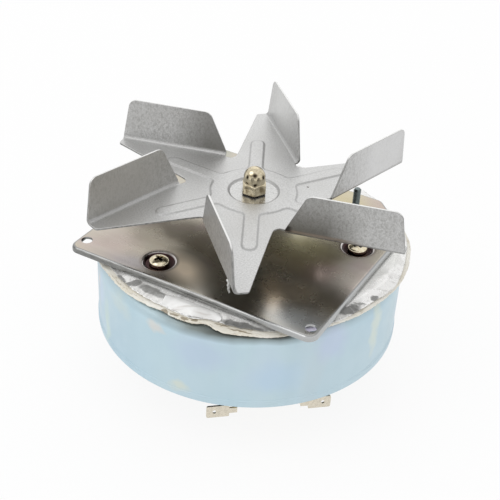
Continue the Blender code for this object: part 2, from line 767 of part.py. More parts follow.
def coil_bobbin(parts, tools):
    """Moulded spool: a square tube with a flange at each end and a pocket for each terminal."""
    end, inner = flange_outer_x(), flange_outer_x() - FLANGE_T
    hole, tube, flange = (0.0, 0.3 * mm), (BOBBIN_WALL, 1 * mm), (flange_extra(), 6 * mm)
    sections = [
        (hole, -end), (flange, -end), (flange, -inner), (tube, -inner),
        (tube, inner), (flange, inner), (flange, end), (hole, end)]
    bm = bmesh.new()
    rings = [ring(bm, rectangle(*coil_half(extra), radius), x) for (extra, radius), x in sections]
    for here, there in zip(rings, rings[1:] + rings[:1]):
        wall(bm, here, there)
    bmesh.ops.recalc_face_normals(bm, faces=bm.faces)
    bobbin = add_object("coil_bobbin", mesh_from(bm, "coil_bobbin"), parts, coil_place(0.0))
    for side in (-1, 1):
        block = terminal_pocket(side, tools)
        hide_tool(block)
        boolean(bobbin, block, "UNION")
    for side in (-1, 1):
        slot = stem_slot(side, tools)
        hide_tool(slot)
        boolean(bobbin, slot)
    return paint(bobbin, (0.80, 0.78, 0.70), 0.5, 0.0)


def flange_outer_x():
    return STACK_HALF_W - ARM_W - GAP


def winding_length():
    return 2 * (flange_outer_x() - FLANGE_T - GAP)


def flange_front():
    return CORE_BAR_Y - coil_half(flange_extra())[0]


def terminal_z():
    return STACK_MID - TAB_DROP


def terminal_pocket(side, tools):
    front = flange_front() - POCKET_DEPTH
    back = flange_front() + 0.2 * mm
    x0, x1 = STEM_X - 1.4 * mm, flange_outer_x() - 0.2 * mm
    half = (x1 - x0) / 2, (back - front) / 2
    centre = (side * (x0 + x1) / 2, (front + back) / 2)
    height = STEM_W + 1.6 * mm
    place = MOTOR_FRAME @ Matrix.Translation((0.0, 0.0, terminal_z() - height / 2))
    return flat_piece(f"pocket_{side}", [rectangle(*half, 0.4 * mm, centre)], height, tools, place)


def stem_slot(side, tools):
    """Pocket's slot that the terminal's stem is pushed into from the front."""
    back = flange_front() - 0.5 * mm
    front = back - POCKET_DEPTH - 1 * mm
    half = TAB_T / 2 + GAP, (back - front) / 2
    centre = (side * STEM_X, (front + back) / 2)
    height = STEM_W + 2 * GAP
    place = MOTOR_FRAME @ Matrix.Translation((0.0, 0.0, terminal_z() - height / 2))
    return flat_piece(f"stem_slot_{side}", [rectangle(*half, 0, centre)], height, tools, place)


def coil_winding(parts):
    length = winding_length()
    inner = coil_half(BOBBIN_WALL + GAP)
    outer = coil_half(BOBBIN_WALL + GAP + WINDING_BUILD)
    outlines = [rectangle(*outer, COIL_CORNER_R), rectangle(*inner, 1.2 * mm)]
    coil = flat_piece("coil_winding", outlines, length, parts, coil_place(-length / 2))
    return paint(coil, (0.55, 0.22, 0.10), 0.35, 1.0)


def coil_tape(parts):
    length = winding_length() - 1 * mm
    base = BOBBIN_WALL + GAP + WINDING_BUILD + GAP
    outlines = [
        rectangle(*coil_half(base + TAPE_T), COIL_CORNER_R + GAP + TAPE_T),
        rectangle(*coil_half(base), COIL_CORNER_R + GAP)]
    tape = flat_piece("coil_tape", outlines, length, parts, coil_place(-length / 2))
    return paint(tape, (0.75, 0.70, 0.45), 0.4, 0.0)


def terminal(name, side, parts, tools):
    """Spade tab along X with its stem bent back into the bobbin, cut from one strip."""
    bend = STEM_X
    front = flange_front() - TAB_REACH
    back = flange_front() - 0.5 * mm - GAP
    z = terminal_z()
    path = [
        (bend - TAB_T / 2, back), (bend - TAB_T / 2, front - TAB_T / 2),
        (bend + STEM_RUN + TAB_LENGTH, front - TAB_T / 2), (bend + STEM_RUN + TAB_LENGTH, front + TAB_T / 2),
        (bend + TAB_T / 2, front + TAB_T / 2), (bend + TAB_T / 2, back)]
    strip = [(side * x, y) for x, y in path]
    if side < 0:
        strip.reverse()
    place = MOTOR_FRAME @ Matrix.Translation((0.0, 0.0, z - TAB_W / 2))
    tab = flat_piece(name, [strip], TAB_W, parts, place)
    start, end = bend + STEM_RUN, bend + STEM_RUN + TAB_LENGTH
    half_tab, half_stem = TAB_W / 2, STEM_W / 2
    blank = rounded([
        (bend - 2 * mm, -half_stem, 0), (start, -half_stem, 0), (start, -half_tab, 0.4 * mm),
        (end, -half_tab, 0.8 * mm), (end, half_tab, 0.8 * mm), (start, half_tab, 0.4 * mm),
        (start, half_stem, 0), (bend - 2 * mm, half_stem, 0)])
    if side < 0:
        blank = [(-x, y) for x, y in reversed(blank)]
    hole = circle(TAB_HOLE_R, 16, (side * (end - TAB_HOLE_INSET), 0.0))
    depth = back - front + 6 * mm
    shape = flat_piece(name + "_blank", [blank, hole], depth, tools)
    middle = Matrix.Translation((0.0, back + 3 * mm, z))
    shape.matrix_world = MOTOR_FRAME @ middle @ Matrix.Rotation(90 * deg, 4, "X")
    hide_tool(shape)
    boolean(tab, shape, "INTERSECT")
    return paint(tab, (0.74, 0.71, 0.62), 0.28, 1.0)


# Screws and nuts

def recess_outline():
    wing, slot = HEAD_R * 0.55, 0.45 * mm
    quarter = [(wing, -slot), (wing, slot), (slot, slot)]
    outline = []
    for i in range(4):
        outline += turned_outline(quarter, i * 90 * deg)
    return turned_outline(outline, RECESS_TURN)


def pan_screw(name, seat, length, down, at, parts, tools):
    """Pan-head screw with a cross recess, its head on the seat and its shank below it, or above if down."""
    profile = [
        (0.0, HEAD_H), (HEAD_R * 0.45, HEAD_H * 0.96), (HEAD_R * 0.78, HEAD_H * 0.74),
        (HEAD_R, HEAD_H * 0.36), (HEAD_R, 0.0), (SCREW_R, 0.0),
        (SCREW_R, -length + 0.4 * mm), (SCREW_R - 0.4 * mm, -length), (0.0, -length)]
    place = MOTOR_FRAME @ Matrix.Translation((*at, seat))
    if down:
        place = place @ Matrix.Rotation(math.pi, 4, "X")
    screw = turned(name, profile, parts, 10, place)
    recess = flat_piece(name + "_recess", [recess_outline()], HEAD_H, tools)
    recess.matrix_world = place @ Matrix.Translation((0.0, 0.0, HEAD_H - RECESS_DEPTH))
    hide_tool(recess)
    boolean(screw, recess)
    return screw


def hex_nut(name, z, at, parts):
    hexagon = turned_outline(circle(NUT_AF / math.sqrt(3), 6), 30 * deg)
    outline = [(at[0] + x, at[1] + y) for x, y in hexagon]
    place = MOTOR_FRAME @ Matrix.Translation((0.0, 0.0, z))
    nut = flat_piece(name, [outline, circle(SCREW_R + GAP, 12, at)], NUT_H, parts, place)
    return paint(nut, (0.66, 0.66, 0.64), 0.3, 1.0)


def plate_fixings(parts, tools):
    """Three long screws from the plate's dishes through the sleeves to nuts under the front bracket."""
    seat = LIP_Z + PLATE_T + GAP
    length = seat - FRONT_PLATE_Z + GAP + NUT_H + 1 * mm
    inner = SCREW_R + GAP
    profile = [(inner, SLEEVE_LENGTH), (SLEEVE_R, SLEEVE_LENGTH), (SLEEVE_R, 0.0), (inner, 0.0)]
    for number, at in enumerate(SLEEVES, 1):
        screw = pan_screw(f"plate_screw_{number}", seat, length, False, at, parts, tools)
        paint(screw, (0.72, 0.66, 0.52), 0.2, 1.0)
        place = MOTOR_FRAME @ Matrix.Translation((*at, SLEEVE_Z))
        sleeve = turned(f"spacer_sleeve_{number}", profile, parts, 12, place)
        paint(sleeve, (0.64, 0.65, 0.64), 0.35, 1.0)
        hex_nut(f"plate_screw_nut_{number}", FRONT_PLATE_Z - GAP - NUT_H, at, parts)


def stator_fixings(parts, tools):
    """Four screws that clamp the brackets to the stack, heads below and nuts above."""
    seat = REAR_DEPTH - BRACKET_T - GAP
    nut_z = FRONT_PLATE_Z + BRACKET_T + GAP
    length = nut_z + NUT_H + 1 * mm - seat
    for number, at in enumerate(STATOR_SCREWS, 1):
        screw = pan_screw(f"stator_screw_{number}", seat, length, True, at, parts, tools)
        paint(screw, (0.66, 0.66, 0.64), 0.3, 1.0)
        hex_nut(f"stator_nut_{number}", nut_z, at, parts)


# Cooling fan on its collar, inside the drum

def cooler_collar(parts):
    inner = SHAFT_R + GAP
    seat_r = inner + 2.0 * mm
    step = COLLAR_H - COOLER_RISE
    profile = [
        (inner, COLLAR_H), (seat_r, COLLAR_H), (seat_r, step), (COLLAR_R, step), (COLLAR_R, 0.0),
        (inner, 0.0)]
    collar = turned("cooler_collar", profile, parts, 16, Matrix.Translation((0.0, 0.0, COLLAR_Z)))
    return paint(collar, (0.70, 0.56, 0.30), 0.35, 1.0)


def cooling_fan(parts):
    """Thin disc whose edge is cut into twisted blades, seated on the collar's step."""
    level = COLLAR_Z + COLLAR_H - COOLER_RISE + GAP + COOLER_T
    bm = bmesh.new()
    share = math.tau / COOLER_BLADES
    edge = []
    for blade in range(COOLER_BLADES):
        start = blade * share
        edge += [polar(COOLER_HUB_R, start + share * part) for part in (0.0, 0.25, 0.5, 0.72)]
    rim = ring(bm, edge, level)
    hole = ring(bm, circle(SHAFT_R + GAP + 2.0 * mm + GAP, 16), level)
    flat(bm, rim, hole)
    rows = 3
    for blade in range(COOLER_BLADES):
        root = rim[4 * blade:4 * blade + 4]
        middle = blade * share + share * 0.36
        last = root
        for row in range(1, rows + 1):
            grow = row / rows
            radius = COOLER_HUB_R + (COOLER_R - COOLER_HUB_R) * grow
            twist = COOLER_TWIST * math.sin(90 * deg * grow)
            new = []
            for part in (0.0, 0.25, 0.5, 0.72):
                across = (part - 0.36) * share * COOLER_HUB_R * (1 + 0.35 * grow)
                flat_x = across * math.cos(twist)
                place = Vector((radius, flat_x, level + across * math.sin(twist)))
                new.append(bm.verts.new(Matrix.Rotation(middle, 3, "Z") @ place))
            for i in range(3):
                bm.faces.new((last[i], last[i + 1], new[i + 1], new[i]))
            last = new
    fan = sheet("cooling_fan", bm, COOLER_T, parts)
    smooth(fan)
    return paint(fan, (0.72, 0.72, 0.72), 0.4, 1.0)


# Drum, insulation and mounting plate

def drum_housing(parts, tools):
    """Drawn cup, open below, with a rounded upper edge and a stepped hem at the rim."""
    inner_corner = DRUM_CORNER_R - DRUM_T
    outer = [(SHAFT_HOLE_R, DRUM_TOP)]
    outer += arc((DRUM_R - DRUM_CORNER_R, DRUM_TOP - DRUM_CORNER_R), DRUM_CORNER_R, 90 * deg, 0.0, 3)
    outer += [
        (DRUM_R, DRUM_BOTTOM + HEM_H + HEM_STEP), (DRUM_R + HEM_STEP, DRUM_BOTTOM + HEM_H),
        (DRUM_R + HEM_STEP, DRUM_BOTTOM)]
    inner = [
        (DRUM_R + HEM_STEP - DRUM_T, DRUM_BOTTOM), (DRUM_R + HEM_STEP - DRUM_T, DRUM_BOTTOM + HEM_H),
        (DRUM_R - DRUM_T, DRUM_BOTTOM + HEM_H + HEM_STEP)]
    inner += arc((DRUM_R - DRUM_CORNER_R, DRUM_TOP - DRUM_CORNER_R), inner_corner, 0.0, 90 * deg, 3)
    inner += [(SHAFT_HOLE_R, DRUM_TOP - DRUM_T)]
    drum = turned("drum_housing", outer + inner, parts, 40)
    smooth(drum)
    bottom, top = DRUM_TOP - DRUM_T - GAP, DRUM_TOP + GAP
    drill(drum, "drum_hole", SCREW_R + GAP, bottom, top, SLEEVES, tools, MOTOR_FRAME)
    return paint(drum, (0.60, 0.70, 0.76), 0.35, 1.0)


def blanket_edge(angle):
    """Radius and droop of the soft edge at one angle: slow waves, as cut and handled by hand."""
    wave = math.sin(3 * angle + 0.7) + 0.6 * math.sin(7 * angle + 2.1) + 0.35 * math.sin(16 * angle)
    droop = 0.5 + 0.5 * math.sin(2 * angle - 1.1)
    return BLANKET_R + BLANKET_WAVE * 0.6 * wave, BLANKET_DROOP * droop


def insulation_disc(parts, tools):
    """Soft disc between plate and drum, its edge drooping over the drum's rounded shoulder."""
    bm = bmesh.new()
    steps = 44
    low, high = BLANKET_Z, BLANKET_Z + BLANKET_T
    flat_r = DRUM_R - DRUM_CORNER_R
    columns = []
    for i in range(steps):
        angle = math.tau * i / steps
        edge, droop = blanket_edge(angle)
        profile = [
            (SHAFT_HOLE_R, high), (flat_r, high), (edge - 2.4 * mm, high - 0.3 * droop),
            (edge - 0.6 * mm, high - 0.7 * mm - 0.8 * droop), (edge, high - BLANKET_T / 2 - droop),
            (edge - 0.7 * mm, low + 0.5 * mm - droop), (edge - 2.2 * mm, low + 0.1 * mm - 0.4 * droop),
            (flat_r, low), (SHAFT_HOLE_R, low)]
        columns.append([bm.verts.new((*polar(r, angle), z)) for r, z in profile])
    for i in range(steps):
        here, there = columns[i], columns[(i + 1) % steps]
        for j in range(len(here)):
            k = (j + 1) % len(here)
            bm.faces.new((here[j], here[k], there[k], there[j]))
    bmesh.ops.recalc_face_normals(bm, faces=bm.faces)
    disc = add_object("insulation_disc", mesh_from(bm, "insulation_disc"), parts)
    smooth(disc)
    drill(disc, "blanket_hole", SCREW_R + GAP, low - 1 * mm, high + 1 * mm, SLEEVES, tools, MOTOR_FRAME)
    return paint(disc, (0.80, 0.79, 0.75), 0.35, 0.6)


def plate_outline(inset):
    """Rectangle with three rounded corners and one clipped corner, drawn in by inset."""
    x, y = PLATE_X / 2 - inset, PLATE_Y / 2 - inset
    clip = PLATE_CLIP - inset * (2 - math.sqrt(2))
    r = PLATE_CORNER_R - inset
    return rounded([
        (-x, -y, r), (x, -y, r), (x, y - clip, r), (x - clip, y, r), (-x, y, r)])


def mounting_plate(parts):
    bm = bmesh.new()
    rim = ring(bm, plate_outline(LIP_BEND), PLATE_TOP)
    inner = [ring(bm, circle(SHAFT_HOLE_R, 24), PLATE_TOP)]
    inner.append(ring(bm, circle(STUD_R + GAP, 16, STUD_AT), PLATE_TOP))
    corners = [(-FIXING_X, -FIXING_Y), (FIXING_X, -FIXING_Y), (-FIXING_X, FIXING_Y)]
    inner += [ring(bm, circle(FIXING_R, 16, at), PLATE_TOP) for at in corners]
    for at in turned_outline(SLEEVES, MOTOR_TURN):
        levels = [(DISH_R, 0.0), (DISH_R - 0.5 * mm, 0.35 * mm), (DISH_FLOOR_R, DISH_DEPTH)]
        rings = [ring(bm, circle(r, 16, at), PLATE_TOP - drop) for r, drop in levels]
        inner.append(rings[0])
        wall(bm, rings[0], rings[1])
        wall(bm, rings[1], rings[2])
        flat(bm, rings[2], ring(bm, circle(SCREW_R + GAP, 12, at), PLATE_TOP - DISH_DEPTH))
    flat(bm, rim, *inner)
    upper = rim
    for angle in (45 * deg, 90 * deg):
        inset = LIP_BEND * (1 - math.sin(angle))
        lower = ring(bm, plate_outline(inset), PLATE_TOP - LIP_BEND * (1 - math.cos(angle)))
        wall(bm, upper, lower)
        upper = lower
    wall(bm, upper, ring(bm, plate_outline(0.0), LIP_Z))
    plate = sheet("mounting_plate", bm, PLATE_T, parts)
    smooth(plate)
    return paint(plate, (0.56, 0.52, 0.46), 0.22, 1.0)


def plate_stud(parts):
    """Stud pressed through the plate from below, with a thin head under the sheet."""
    head_top = PLATE_TOP - PLATE_T - GAP
    top = PLATE_TOP + STUD_RISE
    profile = [
        (0.0, top), (STUD_R - 0.5 * mm, top), (STUD_R, top - 0.5 * mm), (STUD_R, head_top),
        (STUD_HEAD_R, head_top), (STUD_HEAD_R, head_top - STUD_HEAD_H), (0.0, head_top - STUD_HEAD_H)]
    stud = turned("plate_stud", profile, parts, 16, Matrix.Translation((*STUD_AT, 0.0)))
    smooth(stud)
    return paint(stud, (0.35, 0.40, 0.44), 0.3, 1.0)


def clear_scene():
    for obj in list(bpy.data.objects):
        bpy.data.objects.remove(obj, do_unlink=True)


def main():
    clear_scene()
    parts = new_collection("oven_fan_motor")
    tools = new_collection("cutters")
    rear_bracket(parts)
    bush("rear_bush", REAR_BUSH_Z, parts)
    retainer("rear_retainer", BRACKET_T + GAP, REAR_BUSH_Z, parts)
    oil_felt("rear_felt", BRACKET_T + 2 * GAP, parts)
    stator_stack(parts)
    bridge_core(parts)
    shading_rings(parts)
    coil_bobbin(parts, tools)
    coil_winding(parts)
    coil_tape(parts)
    terminal("terminal_left", -1, parts, tools)
    terminal("terminal_right", 1, parts, tools)
    stator_fixings(parts, tools)
    front_bracket(parts, tools)
    bush("front_bush", FRONT_BUSH_Z, parts)
    retainer("front_retainer", FRONT_CROWN_Z - GAP, FRONT_BUSH_Z, parts)
    oil_felt("front_felt", FRONT_CROWN_Z - 2 * GAP - FELT_H, parts)
    drum_housing(parts, tools)
    insulation_disc(parts, tools)
    mounting_plate(parts)
    plate_fixings(parts, tools)
    plate_stud(parts)
    shaft(parts)
    rotor_core(parts)
    rotor_cage(parts, tools)
    thrust_washers(parts)
    cooler_collar(parts)
    cooling_fan(parts)
    hub_washer(parts)
    fan_wheel(parts)
    dome_nut(parts, tools)


main()
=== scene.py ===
"""Looks of the oven fan motor: materials, the crinkled insulation, finer pressed sheet, light and camera."""
import math
import random

import bmesh
import bpy
from mathutils import Matrix, Vector, noise


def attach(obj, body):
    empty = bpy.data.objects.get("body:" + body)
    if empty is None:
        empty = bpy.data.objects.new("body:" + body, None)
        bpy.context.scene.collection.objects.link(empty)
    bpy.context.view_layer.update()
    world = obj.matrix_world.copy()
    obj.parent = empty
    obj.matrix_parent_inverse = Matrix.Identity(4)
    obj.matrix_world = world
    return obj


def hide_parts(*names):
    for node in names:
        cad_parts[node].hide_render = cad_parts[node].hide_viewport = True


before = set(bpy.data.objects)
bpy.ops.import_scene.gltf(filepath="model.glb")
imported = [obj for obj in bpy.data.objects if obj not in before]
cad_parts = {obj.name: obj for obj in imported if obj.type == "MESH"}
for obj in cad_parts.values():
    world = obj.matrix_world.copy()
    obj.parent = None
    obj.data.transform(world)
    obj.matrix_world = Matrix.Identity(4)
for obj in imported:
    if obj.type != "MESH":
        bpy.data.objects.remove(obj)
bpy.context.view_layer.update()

mm = 0.001
deg = math.radians(1.0)


def metres(*sizes):
    """Sizes given in millimetres."""
    return [size * mm for size in sizes]


# Sizes of the CAD part that the finer pieces keep to
GAP = 0.3 * mm
MOTOR_TURN = 40.7 * deg
DRUM_R, DRUM_T, DRUM_TOP, DRUM_BOTTOM = metres(68.8, 1.0, 63.5, 26.4)
DRUM_CORNER_R, HEM_H, HEM_STEP = metres(6.0, 3.0, 0.4)
SHAFT_HOLE_R = 7.0 * mm
BLANKET_LOW, BLANKET_HIGH = metres(63.8, 67.4)
PLATE_X, PLATE_Y, PLATE_T, PLATE_TOP = metres(118.2, 112.2, 1.2, 70.3)
PLATE_CORNER_R, PLATE_CLIP, LIP_Z, LIP_BEND = metres(4.5, 20.0, 67.7, 1.5)
DISH_R, DISH_FLOOR_R, DISH_DEPTH = metres(7.7, 5.6, 1.4)
FIXINGS = [metres(-54.8, -48.2), metres(54.8, -48.2), metres(-54.8, 48.2)]
FIXING_R = 2.4 * mm
STUD_AT = metres(31.0, 43.5)
STUD_R, STUD_TOP, STUD_HEAD_R, STUD_HEAD_H = metres(1.75, 80.3, 3.6, 0.8)
SCREW_R, HEAD_R, HEAD_H, SEAT, SCREW_L = metres(2.0, 4.3, 2.7, 69.2, 13.0)
FAN_ARMS, FAN_TURN, BLADE_LEAN = 6, -2.7 * deg, 2.5 * deg
ARM_STEP = math.tau / FAN_ARMS
FAN_LEVEL, FAN_T, FAN_R, BEND_R, BLADE_H = metres(90.0, 0.9, 75.0, 1.5, 19.8)
HUB_R, HUB_LEVEL, BORE_R = metres(11.0, 89.7, 3.3)
CAP_AF, CAP_HEX_H, CAP_H, CAP_DOME_R, CAP_BORE_DEPTH = metres(10.0, 5.0, 12.0, 4.75, 8.0)
CAP_TURN = 1.4 * deg

# Sizes that are finer here, or differ a little from the CAD
FRONT_SLANT = 1.8 * mm
RIB_HALF, RIB_END, FLOWER_R, RIB_H, RIB_SLOPE, HUB_SLOPE = metres(3.85, 43.0, 19.8, 0.55, 1.5, 1.7)
FOIL_LEVEL = BLANKET_HIGH - 0.25 * mm
FOIL_START = 50.0 * mm
TUCK = 0.8 * mm
THREAD_PITCH, THREAD_DEPTH = metres(0.7, 0.22)
SHARP_ANGLE, BROKEN_ANGLE = 40 * deg, 50 * deg

# Floor, and the point that both lamps look at
FLOOR_HALF, FLOOR_LEVEL = 1.6, -0.3 * mm
LAMP_AIM = Vector((0.0, 0.0, 0.05))

# Camera, from the photograph's fitted view
CAMERA_PITCH, CAMERA_ROLL, CAMERA_TURN = 34.578 * deg, 3.487 * deg, 28.007 * deg
CAMERA_AT, CAMERA_LENS = metres(181.65, -341.70, 325.38), 74.48

scene = bpy.context.scene
scene.view_settings.view_transform = "Standard"


def add_object(name, data):
    obj = bpy.data.objects.new(name, data)
    scene.collection.objects.link(obj)
    return obj


def add_mesh(name, bm):
    mesh = bpy.data.meshes.new(name)
    bm.to_mesh(mesh)
    bm.free()
    return add_object(name, mesh)


def add_camera():
    data = bpy.data.cameras.new("camera")
    data.sensor_width = 36.0
    data.lens = CAMERA_LENS
    data.clip_start = 10 * mm
    scene.camera = add_object("camera", data)
    matrix = Matrix.Translation(CAMERA_AT)
    for angle, axis in ((CAMERA_TURN, "Z"), (90 * deg - CAMERA_PITCH, "X"), (CAMERA_ROLL, "Z")):
        matrix @= Matrix.Rotation(angle, 4, axis)
    scene.camera.matrix_world = matrix


# Outlines and sheet

def polar(radius, angle):
    return (radius * math.cos(angle), radius * math.sin(angle))


def moved(points, centre):
    return [(centre[0] + x, centre[1] + y) for x, y in points]


def arc(centre, radius, start, end, steps):
    return moved([polar(radius, start + (end - start) * i / steps) for i in range(steps + 1)], centre)


def circle(radius, steps, centre=(0.0, 0.0)):
    return arc(centre, radius, 0.0, math.tau, steps)[:-1]


def turned(points, angle):
    c, s = math.cos(angle), math.sin(angle)
    return [(c * x - s * y, s * x + c * y) for x, y in points]


# The three plate screws, in millimetres and in metres
SCREW_SPOTS = turned([(43.8, -20.0), (-43.8, -20.0), (0.0, 47.0)], MOTOR_TURN)
SCREWS = [(x * mm, y * mm) for x, y in SCREW_SPOTS]


def rounded(corners, step=7 * deg):
    """Outline through (x, y, radius) corners."""
    outline = []
    for i, (x, y, radius) in enumerate(corners):
        here = Vector((x, y))
        back = (Vector(corners[i - 1][:2]) - here).normalized()
        ahead = (Vector(corners[(i + 1) % len(corners)][:2]) - here).normalized()
        if radius <= 0:
            outline.append((x, y))
            continue
        half = back.angle(ahead) / 2
        centre = here + (back + ahead).normalized() * radius / math.sin(half)
        first = here + back * radius / math.tan(half) - centre
        turn = math.pi - 2 * half
        if back.x * ahead.y - back.y * ahead.x > 0:
            turn = -turn
        start = math.atan2(first.y, first.x)
        outline += arc(centre, radius, start, start + turn, max(2, round(abs(turn) / step)))
    return outline


def even(points, spacing, passes):
    """Closed outline resampled at even spacing, its corners eased by a few passes of averaging."""
    points = [Vector(p) for p in points]
    lengths = [(points[(i + 1) % len(points)] - p).length for i, p in enumerate(points)]
    count = FAN_ARMS * round(sum(lengths) / spacing / FAN_ARMS)
    out, i, start = [], 0, 0.0
    for k in range(count):
        at = sum(lengths) * k / count
        while at > start + lengths[i] and i < len(points) - 1:
            start += lengths[i]
            i += 1
        out.append(points[i].lerp(points[(i + 1) % len(points)], (at - start) / lengths[i]))
    for _ in range(passes):
        out = [(out[k - 1] + 2 * out[k] + out[(k + 1) % count]) / 4 for k in range(count)]
    return out


def drawn_in(outline, inset):
    """Anticlockwise outline moved inward along its own normals."""
    out = []
    for k, p in enumerate(outline):
        ahead, behind = outline[(k + 1) % len(outline)] - p, p - outline[k - 1]
        along = (ahead.normalized() + behind.normalized()).normalized()
        out.append((p.x - along.y * inset, p.y + along.x * inset))
    return out


def ease(share):
    return share * share * (3 - 2 * share)


def between(value, low, high):
    return min(1.0, max(0.0, (value - low) / (high - low)))


def ring(bm, outline, z):
    return [bm.verts.new((x, y, z)) for x, y in outline]


def screw_holes(bm, z):
    return [ring(bm, circle(SCREW_R + GAP, 24, at), z) for at in SCREWS]


def ring_edges(bm, verts):
    pairs = zip(verts, verts[1:] + verts[:1])
    return [bm.edges.get(pair) or bm.edges.new(pair) for pair in pairs]


def flat(bm, *rings):
    edges = [edge for verts in rings for edge in ring_edges(bm, verts)]
    bmesh.ops.triangle_fill(bm, edges=edges, use_beauty=True, normal=(0.0, 0.0, 1.0))


def strip(bm, lower, upper):
    """Faces between two open rows."""
    for i in range(len(lower) - 1):
        bm.faces.new((lower[i], lower[i + 1], upper[i + 1], upper[i]))


def wall(bm, lower, upper):
    """Faces between two closed rings."""
    strip(bm, lower + lower[:1], upper + upper[:1])


def walls(bm, rings):
    for lower, upper in zip(rings, rings[1:]):
        wall(bm, lower, upper)


def fan(bm, tip, rim):
    """Triangles from one point to a ring."""
    for here, there in zip(rim, rim[1:] + rim[:1]):
        bm.faces.new((tip, here, there))


def outward(bm):
    bmesh.ops.recalc_face_normals(bm, faces=bm.faces)


def face_up(bm):
    """Matching normals, with the largest level face looking up."""
    outward(bm)
    level = max(bm.faces, key=lambda face: abs(face.normal.z) * face.calc_area())
    if level.normal.z < 0:
        bmesh.ops.reverse_faces(bm, faces=bm.faces)


def shade(mesh):
    mesh.shade_smooth()
    mesh.set_sharp_from_angle(angle=SHARP_ANGLE)


def add_piece(name, bm, body, node, material, slot):
    """New object from the mesh, riding on a body and standing for a CAD node."""
    obj = add_mesh(name, bm)
    obj.data.materials.append(material)
    shade(obj.data)
    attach(obj, body)
    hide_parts(node)
    return obj


def thicken(obj, thickness):
    """The open surface becomes the outer face of a sheet."""
    sheet = obj.modifiers.new("sheet", "SOLIDIFY")
    sheet.thickness = thickness
    return sheet


def add_sheet(name, bm, thickness, edge, *where):
    """Sheet metal: the open surface is the top face, thickened downward, with slightly broken edges."""
    face_up(bm)
    obj = add_piece(name, bm, *where)
    thicken(obj, thickness).use_even_offset = True
    bevel = obj.modifiers.new("broken_edges", "BEVEL")
    bevel.width = edge
    bevel.limit_method = "ANGLE"
    bevel.angle_limit = BROKEN_ANGLE
    bevel.use_clamp_overlap = False
    obj.modifiers.new("flats", "WEIGHTED_NORMAL").keep_sharp = True
    return obj


def lathe(bm, profile, steps, at):
    """Surface of revolution from (radius, height) points, closed where the radius is 0."""
    rings = [ring(bm, circle(radius, steps, at) if radius else [at], z) for radius, z in profile]
    for a, b in zip(rings, rings[1:]):
        if len(a) == 1:
            fan(bm, a[0], b)
        elif len(b) == 1:
            fan(bm, b[0], a)
        else:
            wall(bm, a, b)


def cut(obj, tool_bm):
    """Cut the tool's shape out of the object for good."""
    outward(tool_bm)
    tool = add_mesh("tool", tool_bm)
    modifier = obj.modifiers.new("cut", "BOOLEAN")
    modifier.object = tool
    result = bpy.data.meshes.new_from_object(obj.evaluated_get(bpy.context.evaluated_depsgraph_get()))
    obj.modifiers.remove(modifier)
    obj.data = result
    bpy.data.objects.remove(tool)
    shade(result)


# Materials

